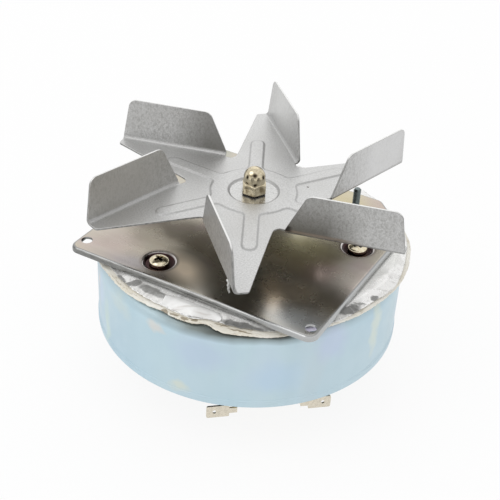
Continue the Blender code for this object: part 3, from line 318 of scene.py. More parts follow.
class Nodes:
    """Short way to write a material's or the world's node tree. Its colour is what has been mixed so far."""

    def __init__(self, name, world=None):
        self.material = world or bpy.data.materials.new(name)
        self.material.use_nodes = True
        self.tree = self.material.node_tree
        self.shader = self.tree.nodes["Background" if world else "Principled BSDF"]
        self.place = self.new("TexCoord").outputs["Object"]

    def put(self, socket, value):
        if hasattr(value, "is_linked"):
            self.tree.links.new(value, socket)
        else:
            socket.default_value = (*value, 1.0) if socket.type == "RGBA" else value

    def set(self, node, **sockets):
        for key, value in sockets.items():
            self.put(node.inputs[key.replace("_", " ")], value)
        return node

    def new(self, kind, **sockets):
        return self.set(self.tree.nodes.new("ShaderNode" + kind), **sockets)

    def mapped(self, scale, turn=(0, 0, 0), move=(0, 0, 0)):
        return self.new("Mapping", Vector=self.place, Scale=scale, Rotation=turn, Location=move).outputs[0]

    def noise(self, scale, detail, rough, where=None, distortion=0.0):
        return self.new(
            "TexNoise", Scale=scale, Detail=detail, Roughness=rough, Distortion=distortion,
            Vector=where or self.place).outputs["Fac"]

    def span(self, value, low, high, to_low=0.0, to_high=1.0):
        """The value brought from one range to another, and kept within it."""
        return self.new(
            "MapRange", Value=value, From_Min=low, From_Max=high, To_Min=to_low, To_Max=to_high).outputs["Result"]

    def mix(self, factor, a, b):
        node = self.new("Mix")
        node.data_type = "RGBA"
        for index, value in ((0, factor), (6, a), (7, b)):
            self.put(node.inputs[index], value)
        return node.outputs[2]

    def base(self, value, low, high, *tones):
        """Start from two tones that a value mixes."""
        self.colour = self.mix(self.span(value, low, high), *tones)

    def tint(self, share, tone):
        """Mix a tone over the colour so far."""
        self.colour = self.mix(share, self.colour, tone)

    def wash(self, value, low, high, share, tone):
        """Tint where a value goes from low to high."""
        self.tint(self.span(value, low, high, 0.0, share), tone)

    def grained(self, value, *ends):
        """A noise brought to the range between two ends."""
        return self.span(value, 0.3, 0.7, *ends)

    def math(self, operation, a, b=0.0):
        node = self.new("Math")
        node.operation = operation
        self.put(node.inputs[0], a)
        self.put(node.inputs[1], b)
        return node.outputs[0]

    def times(self, product, *others):
        for other in others:
            product = self.math("MULTIPLY", product, other)
        return product

    def vector(self, operation, *values):
        node = self.new("VectorMath")
        node.operation = operation
        for socket, value in zip(node.inputs, values):
            self.put(socket, value)
        return node.outputs

    def axis(self, name):
        return self.new("SeparateXYZ", Vector=self.place).outputs[name]

    def height(self, base, low, high, *shares):
        """Share that changes between two heights, in millimetres over a base."""
        return self.span(self.axis("Z"), base + low * mm, base + high * mm, *shares)

    def facing(self):
        """1 on faces that look up, and -1 on those that look down."""
        return self.new("SeparateXYZ", Vector=self.new("NewGeometry").outputs["Normal"]).outputs["Z"]

    def shifted(self, grain, distances):
        """Object coordinates moved about by a noise, by distances in millimetres."""
        noise_colour = self.new("TexNoise", Scale=grain, Detail=2.0, Vector=self.place).outputs["Color"]
        return self.vector("MULTIPLY_ADD", noise_colour, [d * mm for d in distances], self.place)[0]

    def inside(self, centre, size, share, turn, wobble, grain, outer, inner):
        """The share inside an ellipsoid, which fades to 0 from its inner to its outer size."""
        node = self.new(
            "Mapping", Vector=self.shifted(grain, wobble) if any(wobble) else self.place,
            Location=[(c + w / 2) * mm for c, w in zip(centre, wobble)],
            Rotation=(0.0, 0.0, turn * deg), Scale=[s * mm for s in size])
        node.vector_type = "TEXTURE"
        return self.span(self.vector("LENGTH", node.outputs[0])["Value"], outer, inner, 0.0, share)

    def spot(self, centre, size, share=1.0, turn=0.0, wobble=0.0, grain=300, soft=0.15):
        """The share in an ellipse on the XY plane; half sizes and wobble in millimetres, turn in degrees."""
        return self.inside(
            (*centre, 0.0), (*size, 1e6), share, turn, (wobble, wobble, 0.0), grain, 1 + soft, 1 - soft)

    def mark(self, place, size, share=1.0, ragged=8.0, grain=110):
        """The share near a place on a side; half sizes across and upright, in millimetres."""
        return self.inside(place, (size[0], *size), share, 0.0, [ragged] * 3, grain, 1.4, 0.5)

    def bump(self, height, distance, strength, **normal):
        return self.new("Bump", Height=height, Distance=distance, Strength=strength, **normal).outputs["Normal"]

    def finish(self, roughness, metallic, normal):
        self.set(self.shader, Base_Color=self.colour, Roughness=roughness, Metallic=metallic, Normal=normal)
        return self.material

    def seen(self):
        """1 for rays from the camera, from a mirror and through glass, and 0 for the light itself."""
        rays = self.new("LightPath").outputs
        either = self.math("MAXIMUM", rays["Is Camera Ray"], rays["Is Glossy Ray"])
        return self.math("MAXIMUM", either, rays["Is Transmission Ray"])


# Tints of the drum's coating, and lighter cyan painted reflection at the drum's left and right sides: place, half
# size across and upright, in millimetres, and colour
DRUM_TINTS_AND_SIDE_REFLECTIONS = [
    ((-5.3, -68.6, 57.8), (4.5, 1.6), (0.86, 0.72, 0.60)), ((7.1, -68.4, 31.0), (4.0, 2.6), (0.80, 0.78, 0.58)),
    ((-26.5, -63.5, 57.0), (6, 4), (0.66, 0.74, 0.70)), ((-38.0, -57.2, 38.0), (3, 11), (0.68, 0.80, 0.68)),
    ((-60.0, -33.5, 44.0), (7, 18), (0.66, 0.90, 0.98)), ((-45.0, -52.0, 50.0), (4, 9), (0.62, 0.72, 0.90)),
    ((-48.0, -49.3, 53.0), (1.6, 4.0), (0.82, 0.72, 0.66)), ((15.5, -67.0, 52.0), (12, 8), (0.50, 0.60, 0.78)),
    ((59.6, -34.4, 55.0), (7, 9), (0.56, 0.62, 0.84)), ((68.0, -10.0, 52.0), (3, 14), (0.82, 0.84, 0.66)),
    ((62.5, 28.5, 44.0), (8, 18), (0.60, 0.88, 0.99)), ((44.0, -52.9, 42.0), (10, 8), (0.50, 0.66, 0.84))]


def drum_zinc():
    n = Nodes("drum_zinc")
    drawn = n.noise(60, 3, 0.6, n.mapped((1, 1, 0.12)))
    cloud = n.noise(24, 2, 0.5, n.mapped((1, 1, 0.5)))
    warm = n.noise(30, 3, 0.5, n.mapped((1, 1, 0.35), move=(3, 1, 7)), 0.5)
    pale = n.noise(17, 2, 0.5, n.mapped((1, 1, 0.3), move=(1, 6, 2)))
    n.base(cloud, 0.38, 0.62, (0.485, 0.645, 0.745), (0.535, 0.675, 0.745))
    n.wash(warm, 0.56, 0.72, 0.35, (0.62, 0.64, 0.66))
    n.wash(warm, 0.42, 0.28, 0.5, (0.53, 0.61, 0.79))
    n.wash(pale, 0.50, 0.68, 0.45, (0.60, 0.76, 0.78))
    n.wash(drawn, 0.3, 0.7, 0.4, (0.60, 0.75, 0.83))
    # Coating tints, with painted reflection at the drum's left and right sides
    for place, size, tone in DRUM_TINTS_AND_SIDE_REFLECTIONS:
        n.tint(n.mark(place, size, 0.45), tone)
    # Shade under the insulation's drooping edge, deepest at the front
    edge = n.math("ADD", n.axis("Z"), n.times(n.noise(70, 2, 0.5), 2 * mm))
    front = n.span(n.spot((26, -62), (32, 24), soft=0.5), 0.0, 1.0, 0.2, 0.9)
    n.tint(n.times(n.span(edge, 60.3 * mm, 63.2 * mm), front), (0.13, 0.145, 0.13))
    under = n.spot((37, -56), (21, 20), 0.92, soft=0.5)
    n.tint(n.times(n.span(edge, 62.4 * mm, 63.6 * mm), under), (0.03, 0.032, 0.028))
    rough = n.grained(n.noise(140, 3, 0.6), 0.34, 0.46)
    return n.finish(rough, 0.6, n.bump(n.noise(500, 2, 0.5), 0.00004, 0.3))


# Where the plate is darker or lighter as painted reflection of the fan and the lamps, and where its zinc is
# tinted: centre and half sizes in millimetres, turn, colour and share
PLATE_TINTS_AND_REFLECTIONS = [
    ((-18, -38), (17, 14), 0, (0.28, 0.25, 0.20), 0.8), ((-30, -51), (15, 5.5), 8, (0.24, 0.225, 0.24), 0.75),
    ((46, -16), (15, 20), 10, (0.44, 0.405, 0.35), 0.7), ((26, -10), (15, 10), 0, (0.43, 0.37, 0.24), 0.8),
    ((41, -11), (6, 9), 0, (0.40, 0.29, 0.28), 0.6), ((31, -36), (10.5, 4.4), -55, (0.88, 0.73, 0.55), 0.85),
    ((-8, -42.5), (9.5, 6.2), -30, (0.95, 0.82, 0.65), 0.95), ((50, -46), (12, 8), 0, (0.49, 0.52, 0.54), 0.85),
    ((6, -38), (6, 9), 0, (0.38, 0.355, 0.30), 0.5), ((-44, -42), (10, 9), 0, (0.35, 0.295, 0.265), 0.85),
    ((26, 1), (15, 9), 10, (0.42, 0.385, 0.215), 0.8), ((24, 48), (15, 10), 0, (0.45, 0.395, 0.25), 0.8),
    ((42, 52), (7, 12), 45, (0.38, 0.30, 0.27), 0.7), ((39, -30), (6.5, 6.5), 0, (0.76, 0.66, 0.53), 0.6)]

# Painted shade and highlight in rings round each screw: a darker ring, a light painted highlight on the dish's rim
# and dark painted shade inside the dish; radius in millimetres, softness and colour
DISH_SHADE_AND_HIGHLIGHT_RINGS = [
    (8.1, 0.10, (0.20, 0.17, 0.15)), (7.45, 0.03, (0.80, 0.76, 0.74)), (6.95, 0.04, (0.045, 0.022, 0.022))]


def plate_zinc():
    n = Nodes("plate_zinc")
    big = n.noise(16, 2, 0.5, distortion=0.6)
    tint = n.noise(28, 2, 0.5, n.mapped((1, 1, 1), move=(5, 2, 1)), 0.8)
    n.base(big, 0.35, 0.65, (0.43, 0.39, 0.32), (0.40, 0.38, 0.34))
    n.wash(tint, 0.54, 0.72, 0.6, (0.40, 0.30, 0.33))
    n.wash(tint, 0.44, 0.28, 0.6, (0.29, 0.33, 0.28))
    # Painted reflections, and tints of the zinc
    for place, size, turn, tone, share in PLATE_TINTS_AND_REFLECTIONS:
        n.tint(n.spot(place, size, share, turn, soft=0.6), tone)
    rolled = n.noise(260, 2, 0.5, n.mapped((0.08, 1, 1)))
    n.wash(rolled, 0.35, 0.7, 0.12, (0.58, 0.56, 0.52))
    # Turned-down lip: streaked painted shade, lighter towards the right as painted light, and the bend's top a mid
    # grey between plate and lip as a painted light line
    scuffs = n.noise(700, 4, 0.7, n.mapped((0.3, 1, 1)))
    lip_shade = n.mix(n.span(scuffs, 0.35, 0.65), (0.18, 0.18, 0.175), (0.28, 0.28, 0.27))
    lip_shade = n.mix(n.span(n.axis("X"), 12 * mm, 58 * mm, 0.0, 0.85), lip_shade, (0.52, 0.53, 0.53))
    n.tint(n.height(PLATE_TOP, -0.01, -0.10), (0.34, 0.34, 0.34))
    n.tint(n.height(PLATE_TOP, -0.20, -0.35), lip_shade)
    # Painted shade and highlight round each screw's dish
    for at in SCREW_SPOTS:
        for radius, soft, tone in DISH_SHADE_AND_HIGHLIGHT_RINGS:
            n.tint(n.spot(at, (radius, radius), soft=soft), tone)
    rough = n.grained(n.noise(90, 3, 0.6), 0.22, 0.31)
    hazy = n.spot((-8, -41), (11, 7), 0.22, -30, soft=0.8)
    return n.finish(n.math("ADD", rough, hazy), 1.0, n.bump(n.noise(45, 1, 0.4), 0.0003, 0.4))


# Painted shade and light on the blades, each patch darker or lighter as the blade catches less or more light:
# centre and half sizes in millimetres, colour, share at its foot and its top
BLADE_SHADE_AND_LIGHT = [
    ((-28, 22), (17, 14), (0.20, 0.195, 0.18), 0.85, 0.6), ((36, -19), (16, 12), (0.12, 0.115, 0.10), 0.85, 0.35),
    ((-48, -40), (26, 22), (0.44, 0.42, 0.38), 0.6, 0.6), ((44, 46), (24, 18), (0.74, 0.74, 0.74), 0.7, 0.7),
    ((-14, 62), (16, 22), (0.70, 0.70, 0.69), 0.6, 0.6)]


def fan_steel():
    n = Nodes("fan_steel")
    sand = n.noise(1500, 3, 0.8)
    cloud = n.noise(38, 3, 0.55, distortion=0.4)
    n.base(sand, 0.36, 0.64, (0.44, 0.44, 0.435), (0.655, 0.655, 0.65))
    n.wash(cloud, 0.35, 0.7, 0.35, (0.44, 0.435, 0.42))
    blades = n.height(FAN_LEVEL, 1.0, 2.0)
    mottle = n.noise(1000, 2, 0.7, n.mapped((1, 1, 0.55)))
    n.tint(n.times(n.span(mottle, 0.48, 0.64, 0.0, 0.42), blades), (0.27, 0.265, 0.25))
    # Painted shade and light on the blades
    for place, size, tone, share, high_share in BLADE_SHADE_AND_LIGHT:
        mask = n.spot(place, size, wobble=8, grain=60, soft=0.55)
        n.tint(n.times(mask, blades, n.height(FAN_LEVEL, 3, 16, share, high_share)), tone)
    # Brown line along the right blade's fold, and at its foot painted shade that stands for the dark relief notch
    # there
    bend = n.times(n.height(FAN_LEVEL, 0.3, 0.6), n.height(FAN_LEVEL, 2.4, 1.6))
    n.tint(n.times(n.spot((38, -17), (17, 11), 0.75, soft=0.3), bend), (0.22, 0.17, 0.13))
    foot = n.times(n.height(FAN_LEVEL, 3.9, 3.3), n.height(FAN_LEVEL, 0.95, 1.05))
    n.tint(n.times(n.spot((27.2, -19.6), (2.5, 2.5), soft=0.25), foot), (0.045, 0.04, 0.035))
    # Painted shade on the slopes of the ribs, in the groove round the hub, on the hub's sunk slope and on the
    # underside, and a small dark spot
    facing = n.facing()
    slope_shade = n.times(n.span(facing, 0.99, 0.87, 0.0, 0.42), n.height(FAN_LEVEL, 0.95, 0.8))
    n.tint(slope_shade, (0.25, 0.25, 0.245))
    radius = n.vector("LENGTH", n.mapped((1, 1, 0)))["Value"]
    off_ring = n.math("ABSOLUTE", n.math("SUBTRACT", radius, HUB_R + 0.3 * mm))
    n.tint(n.span(off_ring, 0.30 * mm, 0.12 * mm, 0.0, 0.18), (0.22, 0.22, 0.21))
    n.wash(facing, -0.4, -0.9, 0.6, (0.20, 0.19, 0.16))
    hub = n.span(radius, HUB_R, HUB_R - 0.6 * mm, 0.0, 0.22)
    n.tint(n.times(hub, 0.7), (0.30, 0.30, 0.29))
    n.tint(n.spot((18.1, 16.6), (0.55, 0.45)), (0.10, 0.09, 0.08))
    rough = n.math("SUBTRACT", n.grained(sand, 0.36, 0.50), hub)
    grain = n.bump(n.noise(3600, 2, 0.6), 0.00004, 0.35)
    return n.finish(rough, 0.88, n.bump(sand, 0.00008, 0.4, Normal=grain))


def sheared_edge():
    """Bare, duller rim of the punched sheet, darker also as painted shade, with a painted highlight where the rim
    looks up.
    """
    n = Nodes("sheared_edge")
    streaks = n.noise(1.0, 3, 0.6, n.mapped((900, 900, 300)))
    n.base(streaks, 0.35, 0.65, (0.20, 0.20, 0.195), (0.40, 0.40, 0.39))
    # Painted highlight on rim faces that look up
    n.tint(n.span(n.facing(), 0.35, 0.75), (0.74, 0.74, 0.73))
    return n.finish(n.grained(streaks, 0.40, 0.55), 0.9, n.bump(streaks, 0.00006, 0.5))


def bright_metal(name, colour, roughness, grain=900):
    n = Nodes(name)
    speck = n.noise(grain, 3, 0.6)
    n.base(speck, 0.35, 0.65, [c * 0.82 for c in colour], colour)
    return n.finish(n.grained(speck, roughness, roughness + 0.1), 1.0, n.bump(speck, 0.00003, 0.3))


def plain_stuff(name, colour, roughness, grain=500, depth=0.00005):
    n = Nodes(name)
    speck = n.noise(grain, 4, 0.6)
    n.base(speck, 0.3, 0.7, [c * 0.75 for c in colour], colour)
    return n.finish(n.grained(speck, roughness, roughness + 0.12), 0.0, n.bump(speck, depth, 0.5))


# Painted dark reflections on the nut's dome and hexagon: place and half sizes in millimetres
NUT_DARK_REFLECTIONS = [
    ((1.95, -3.4, 99.9), (1.0, 1.0)), ((-1.0, -4.4, 98.8), (0.6, 0.9)), ((-1.15, -4.6, 95.9), (0.5, 0.4)),
    ((2.6, -4.0, 95.6), (0.8, 0.8)), ((2.85, -4.5, 91.6), (0.28, 1.2)), ((4.6, -0.6, 98.6), (0.7, 1.0))]


def nut_nickel():
    n = Nodes("nut_nickel")
    speck = n.noise(1200, 3, 0.6)
    brown_reflections = n.noise(330, 2, 0.4, n.mapped((1, 1, 0.8), move=(2 * mm, 0.0, 1 * mm)))
    n.base(speck, 0.35, 0.65, (0.52, 0.45, 0.31), (0.67, 0.60, 0.45))
    # Brown painted reflections over the dome and hexagon
    n.wash(brown_reflections, 0.50, 0.68, 0.8, (0.20, 0.15, 0.08))
    # Painted dark reflections
    for place, size in NUT_DARK_REFLECTIONS:
        n.tint(n.mark(place, size, ragged=0.8, grain=900), (0.035, 0.025, 0.015))
    # Painted shade along the nut's foot, next to the hub
    n.tint(n.height(HUB_LEVEL, 1.0, 0.5), (0.03, 0.025, 0.02))
    return n.finish(n.grained(speck, 0.05, 0.12), 1.0, n.bump(speck, 0.00001, 0.3))


def screw_zinc():
    n = Nodes("screw_zinc")
    speck = n.noise(900, 3, 0.6)
    n.base(speck, 0.35, 0.65, (0.66, 0.57, 0.40), (0.84, 0.77, 0.60))
    # Painted shade in each head's cross recess
    deep = n.height(SEAT + HEAD_H, -0.25, -0.9)
    for at in SCREW_SPOTS:
        n.tint(n.times(n.spot(at, (2.5, 2.5)), deep), (0.05, 0.035, 0.02))
    return n.finish(n.grained(speck, 0.16, 0.28), 1.0, n.bump(speck, 0.00003, 0.3))


def striped(name, pitch, direction, where_turn, tones, roughness, metallic, depth, strength):
    """Fine parallel bands: sheets of a stack, or turns of a wire."""
    n = Nodes(name)
    bands = n.new("TexWave", Scale=1 / pitch / math.tau, Vector=n.mapped((1, 1, 1), turn=(0.0, 0.0, where_turn)))
    bands.bands_direction = direction
    fac = bands.outputs["Fac"]
    n.colour = n.mix(fac, *tones)
    return n.finish(roughness, metallic, n.bump(fac, depth, strength))


# Patches of the soft pieces, in millimetres and degrees: centre, half sizes and turn
SCRAP, SCRAP_TONE = ((52.7, -43.3), (4.0, 4.0)), (0.80, 0.77, 0.90)

# Painted shade in the gaps under the flap's torn edge, on the fibre, and painted shade of soft folds in the flap
FIBRE_GAP_SHADES = [
    ((-3.0, -65.2), (1.8, 0.7), -10), ((1.6, -65.2), (2.0, 0.6), 5), ((6.4, -65.0), (1.8, 0.6), 10),
    ((10.6, -63.9), (1.6, 0.5), 20), ((21.5, -60.4), (3.5, 0.45), 12), ((29.5, -59.6), (5.0, 0.4), 14)]
FILM_FOLD_SHADES = [((0.6, -64.6), (4.0, 0.5), 30), ((5.0, -61.0), (4.0, 0.45), 28), ((12.5, -60.6), (3.0, 0.35), 20)]

# Grey patches of painted reflection on the foil, each with its grey level
FOIL_REFLECTION_PATCHES = [
    ((60.0, 2.0), (17.0, 2.6), 84, 0.80), ((61.0, 16.0), (9.0, 3.0), 97, 0.80),
    ((-29.5, -58.6), (3.2, 1.4), -25, 0.27), ((-22.8, -58.4), (3.4, 1.5), 35, 0.27),
    ((-12.6, -59.3), (7.5, 2.0), -8, 0.34), ((-34.5, -57.3), (1.3, 0.8), 0, 0.27),
    ((30.0, -57.6), (9.0, 2.0), 12, 0.23), ((66.0, -11.0), (2.0, 1.3), 60, 0.22),
    ((60.8, -24.5), (5.5, 2.0), 64, 0.24), ((62.5, -18.5), (3.0, 0.6), 40, 0.40)]


def foil():
    n = Nodes("foil")
    fine = n.noise(300, 2, 0.5, distortion=0.4)
    cells = n.new("TexVoronoi", Scale=120, Vector=n.shifted(150, (6, 6, 6)))
    facet = n.new("SeparateColor", Color=cells.outputs["Color"]).outputs[0]
    n.base(facet, 0.35, 0.9, (0.96, 0.955, 0.94), (0.84, 0.835, 0.815))
    streak = n.noise(220, 2, 0.5, distortion=2.0)
    n.wash(streak, 0.60, 0.66, 0.4, (0.50, 0.495, 0.48))
    # Painted reflections on the foil
    for place, size, turn, grey in FOIL_REFLECTION_PATCHES:
        n.tint(n.spot(place, size, 0.92, turn, 3.0, 260), (grey, grey, grey * 0.97))
    n.tint(n.spot(*SCRAP), SCRAP_TONE)
    return n.finish(n.grained(fine, 0.22, 0.34), 0.35, n.bump(fine, 0.00012, 0.3))


def fibre():
    n = Nodes("fibre")
    threads = n.noise(900, 5, 0.7, distortion=1.5)
    layers = n.noise(1.0, 4, 0.7, n.mapped((130, 130, 1900)), 0.6)
    n.base(n.noise(60, 2, 0.5), 0.35, 0.65, (0.80, 0.74, 0.60), (0.93, 0.90, 0.82))
    n.wash(threads, 0.35, 0.6, 0.5, (0.98, 0.97, 0.93))
    # Brown lines between the fibre's layers, painted shade in the gaps
    n.wash(layers, 0.57, 0.66, 0.65, (0.40, 0.33, 0.21))
    # Painted shade in the gaps under the flap's torn edge
    for place, size, turn in FIBRE_GAP_SHADES:
        n.tint(n.spot(place, size, 0.75, turn, 1.6, 420), (0.25, 0.19, 0.11))
    n.tint(n.spot(*SCRAP), SCRAP_TONE)
    return n.finish(0.85, 0.0, n.bump(threads, 0.0003, 0.6))


def loose_film():
    n = Nodes("loose_film")
    wrinkle = n.noise(120, 2, 0.5, distortion=0.6)
    n.base(wrinkle, 0.42, 0.65, (0.95, 0.95, 0.94), (0.84, 0.835, 0.82))
    n.wash(n.noise(600, 3, 0.6), 0.55, 0.75, 0.3, (0.76, 0.75, 0.73))
    # Painted shade of soft folds in the flap
    for place, size, turn in FILM_FOLD_SHADES:
        n.tint(n.spot(place, size, 0.45, turn, 1.2, 200, 0.5), (0.55, 0.51, 0.47))
    return n.finish(n.grained(wrinkle, 0.3, 0.42), 0.15, n.bump(wrinkle, 0.0002, 0.4))


def dress(material, *names):
    for name in names:
        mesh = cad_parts[name].data
        mesh.materials.clear()
        mesh.materials.append(material)


def dress_nodes():
    plated = ("bracket", "stator_nut", "stator_screw", "sleeve", "screw_nut")
    dress(bright_metal("bracket_zinc", (0.62, 0.64, 0.64), 0.30),
          *[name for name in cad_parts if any(word in name for word in plated)])
    stack = ((0.16, 0.155, 0.15), (0.34, 0.33, 0.32))
    dress(striped("laminations", 0.5 * mm, "Z", 0.0, stack, 0.5, 0.9, 0.00008, 0.6),
          "stator_stack", "bridge_core", "rotor_core")
    wire = ((0.20, 0.07, 0.03), (0.58, 0.24, 0.11))
    dress(striped("winding_wire", 0.4 * mm, "X", -MOTOR_TURN, wire, 0.32, 0.8, 0.0001, 0.7), "coil_winding")
    dress(bright_metal("cage_aluminium", (0.68, 0.68, 0.68), 0.4, 300), "rotor_cage")
    dress(bright_metal("cooler_aluminium", (0.70, 0.70, 0.70), 0.32), "cooling_fan")
    dress(bright_metal("collar_brass", (0.68, 0.54, 0.28), 0.3), "cooler_collar")
    dress(bright_metal("ring_copper", (0.72, 0.36, 0.20), 0.3), "shading_ring_1", "shading_ring_2")
    dress(bright_metal("terminal_nickel", (0.78, 0.72, 0.60), 0.22), "terminal_left", "terminal_right")
    dress(bright_metal("spring_steel", (0.58, 0.58, 0.57), 0.3), "front_retainer", "rear_retainer")
    dress(bright_metal("shaft_steel", (0.56, 0.56, 0.57), 0.2), "shaft")
    dress(bright_metal("washer_zinc", (0.60, 0.60, 0.58), 0.3), "hub_washer")
    dress(plain_stuff("bobbin_plastic", (0.74, 0.71, 0.62), 0.45), "coil_bobbin")
    dress(plain_stuff("coil_tape", (0.72, 0.62, 0.30), 0.35, 200), "coil_tape")
    dress(plain_stuff("bronze", (0.42, 0.30, 0.18), 0.5, 1500), "front_bush", "rear_bush")
    dress(plain_stuff("felt", (0.46, 0.40, 0.28), 0.9, 1200, 0.0003), "front_felt", "rear_felt")
    dress(plain_stuff("laminate", (0.62, 0.52, 0.34), 0.5, 800), "front_thrust_washer", "rear_thrust_washer")


# Fan wheel: the pressed star with eased embossed ribs and one blade folded up at each arm

def fold_line():
    """Ends of the line where a blade's bend begins, its direction, and the way out of the star."""
    inner, outer = Vector(polar(33.6 * mm, -35.0 * deg)), Vector(polar(FAN_R, -2.9 * deg))
    along = (outer - inner).normalized()
    out = Vector((along.y, -along.x))
    return inner - out * BEND_R, outer - out * BEND_R, along, out


def arm_outline():
    """One arm of the star, from its fold line round the tip to the relief notch before the next arm."""
    inner, outer, along, out = fold_line()
    tip = outer - out * 4.0 * mm + along * 0.3 * mm
    following = Matrix.Rotation(ARM_STEP, 2) @ inner
    return rounded([
        (*inner, 0), (*outer, 0), (*tip, 1.6 * mm), (33.2 * mm, 8.7 * mm, 0),
        (29.9 * mm, 9.5 * mm, 1.3 * mm), (28.0 * mm, 11.7 * mm, 1.5 * mm), (*following, 0)])[:-1]


def rib_outline():
    root = math.sqrt(FLOWER_R ** 2 - RIB_HALF ** 2)
    spread = math.atan2(RIB_HALF, root)
    rib = [(root, -RIB_HALF)] + arc((RIB_END, 0.0), RIB_HALF, -90 * deg, 90 * deg, 16) + [(root, RIB_HALF)]
    petal = arc((0.0, 0.0), FLOWER_R, spread, ARM_STEP - spread, 16)[1:-1]
    points = []
    for arm in range(FAN_ARMS):
        points += turned(rib + petal, arm * ARM_STEP + FAN_TURN)
    return even(points, 0.6 * mm, 6)


def add_blade(bm, arm, foot, tip):
    """Bend and panel of one blade, joined to the star at the two ends of its fold line."""
    inner, outer, along, out = fold_line()
    turn = Matrix.Rotation(arm * ARM_STEP + FAN_TURN, 3, "Z")
    along3, out3, up = Vector((*along, 0.0)), Vector((*out, 0.0)), Vector((0.0, 0.0, 1.0))
    base = [Vector((*inner, FAN_LEVEL)), Vector((*outer, FAN_LEVEL))]
    bend, steps = 90 * deg - BLADE_LEAN, 9
    row = [foot, tip]
    for i in range(1, steps + 1):
        angle = bend * i / steps
        shift = out3 * BEND_R * math.sin(angle) + up * BEND_R * (1 - math.cos(angle))
        higher = [bm.verts.new(turn @ (point + shift)) for point in base]
        strip(bm, row, higher)
        row = higher
    rise = up * math.sin(bend) + out3 * math.cos(bend)
    height, length, corner = BLADE_H - BEND_R, (base[1] - base[0]).length, 4.0 * mm
    shape = rounded([
        (0.0, 0.0, 0), (length, 0.0, 0), (length - 3.0 * mm, height, corner), (8.6 * mm, height, corner)])
    origin = base[0] + shift
    bm.faces.new(row + [bm.verts.new(turn @ (origin + along3 * x + rise * y)) for x, y in shape[2:]])


def fan_wheel():
    bm = bmesh.new()
    outline, folds = [], []
    for arm in range(FAN_ARMS):
        folds.append(len(outline))
        outline += turned(arm_outline(), arm * ARM_STEP)
    outline = turned(outline, FAN_TURN)
    star = ring(bm, outline, FAN_LEVEL)
    # The margin keeps long thin triangles away from the bevelled edge
    margin = ring(bm, drawn_in([Vector(p) for p in outline], 0.3 * mm), FAN_LEVEL)
    base, steps = rib_outline(), 5
    rise = [ring(bm, drawn_in(base, RIB_SLOPE * i / steps), FAN_LEVEL + RIB_H * ease(i / steps))
            for i in range(steps + 1)]
    sink = [ring(bm, circle(HUB_R + HUB_SLOPE / 2 - HUB_SLOPE * i / steps, 72),
                 FAN_LEVEL + RIB_H - (RIB_H + FAN_LEVEL - HUB_LEVEL) * ease(i / steps))
            for i in range(steps + 1)]
    wall(bm, star, margin)
    flat(bm, margin, rise[0])
    walls(bm, rise)
    flat(bm, rise[-1], sink[0])
    walls(bm, sink)
    flat(bm, sink[-1], ring(bm, circle(BORE_R, 32), HUB_LEVEL))
    for arm, index in enumerate(folds):
        add_blade(bm, arm, star[index], star[index + 1])
    wheel = add_sheet("fan_wheel_pressed", bm, FAN_T, 0.12 * mm, "rotor", "fan_wheel", fan_steel(), "fan_steel")
    wheel.data.materials.append(sheared_edge())
    wheel.modifiers["sheet"].material_offset_rim = 1


def fold_burr():
    """Ragged sliver that the shears left below the front blade's fold, near its outer end."""
    pick = random.Random(3)
    bm = bmesh.new()
    high, low = Vector((24.2, -61.6, 89.8)) * mm, Vector((25.8, -64.0, 85.3)) * mm
    across, ragged = Vector((0.87, 0.49, 0.0)), Vector((0.2, -0.35, 0.0)) * mm
    last = None
    for i in range(8):
        share = i / 7
        half = (0.8 - 0.55 * share) * mm
        centre = high.lerp(low, share) + across * pick.uniform(-0.25, 0.25) * mm
        row = [bm.verts.new(centre + across * half * side + ragged * pick.uniform(-1, 1))
               for side in (-1.0, -0.2, 0.4, 1.0)]
        if last:
            strip(bm, last, row)
        last = row
    steel = bright_metal("burr_steel", (0.62, 0.62, 0.60), 0.4)
    thicken(add_piece("fan_wheel_burr", bm, "rotor", "fan_wheel", steel, "fan_steel"), 0.25 * mm)


def dome_nut():
    """Cap nut: a chamfered hexagon below a short drum and a dome, with its blind bore."""
    bm = bmesh.new()
    base, steps = HUB_LEVEL + GAP, 96
    flat_r, point_r = CAP_AF / 2, CAP_AF / math.sqrt(3)
    # Heights over the base, and the radius that trims the hexagon there
    levels = [
        (0.0, flat_r + 0.05 * mm), (0.12 * mm, flat_r + 0.3 * mm), (0.35 * mm, point_r),
        (CAP_HEX_H - 0.5 * mm, point_r), (CAP_HEX_H - 0.2 * mm, flat_r + 0.35 * mm),
        (CAP_HEX_H - 0.03 * mm, flat_r + 0.05 * mm), (CAP_HEX_H, CAP_DOME_R + 0.12 * mm),
        (CAP_HEX_H + 0.1 * mm, CAP_DOME_R)]
    levels += [(z, r) for r, z in arc((0.0, CAP_H - CAP_DOME_R), CAP_DOME_R, 0.0, 88 * deg, 14)]
    rings = []
    for z, limit in levels:
        outline = []
        for i in range(steps):
            angle = math.tau * i / steps
            side = (angle + 30 * deg) % (60 * deg) - 30 * deg
            outline.append(polar(min(flat_r / math.cos(abs(side) - 30 * deg), limit), angle + CAP_TURN))
        rings.append(ring(bm, outline, base + z))
    walls(bm, rings)
    fan(bm, bm.verts.new((0.0, 0.0, base + CAP_H)), rings[-1])
    bore = [ring(bm, circle(BORE_R, steps), z) for z in (base, base + CAP_BORE_DEPTH)]
    walls(bm, [rings[0]] + bore)
    bm.faces.new(bore[1])
    outward(bm)
    add_piece("dome_nut_turned", bm, "rotor", "dome_nut", nut_nickel(), "nut_nickel")


# Drum, plate, screws and stud

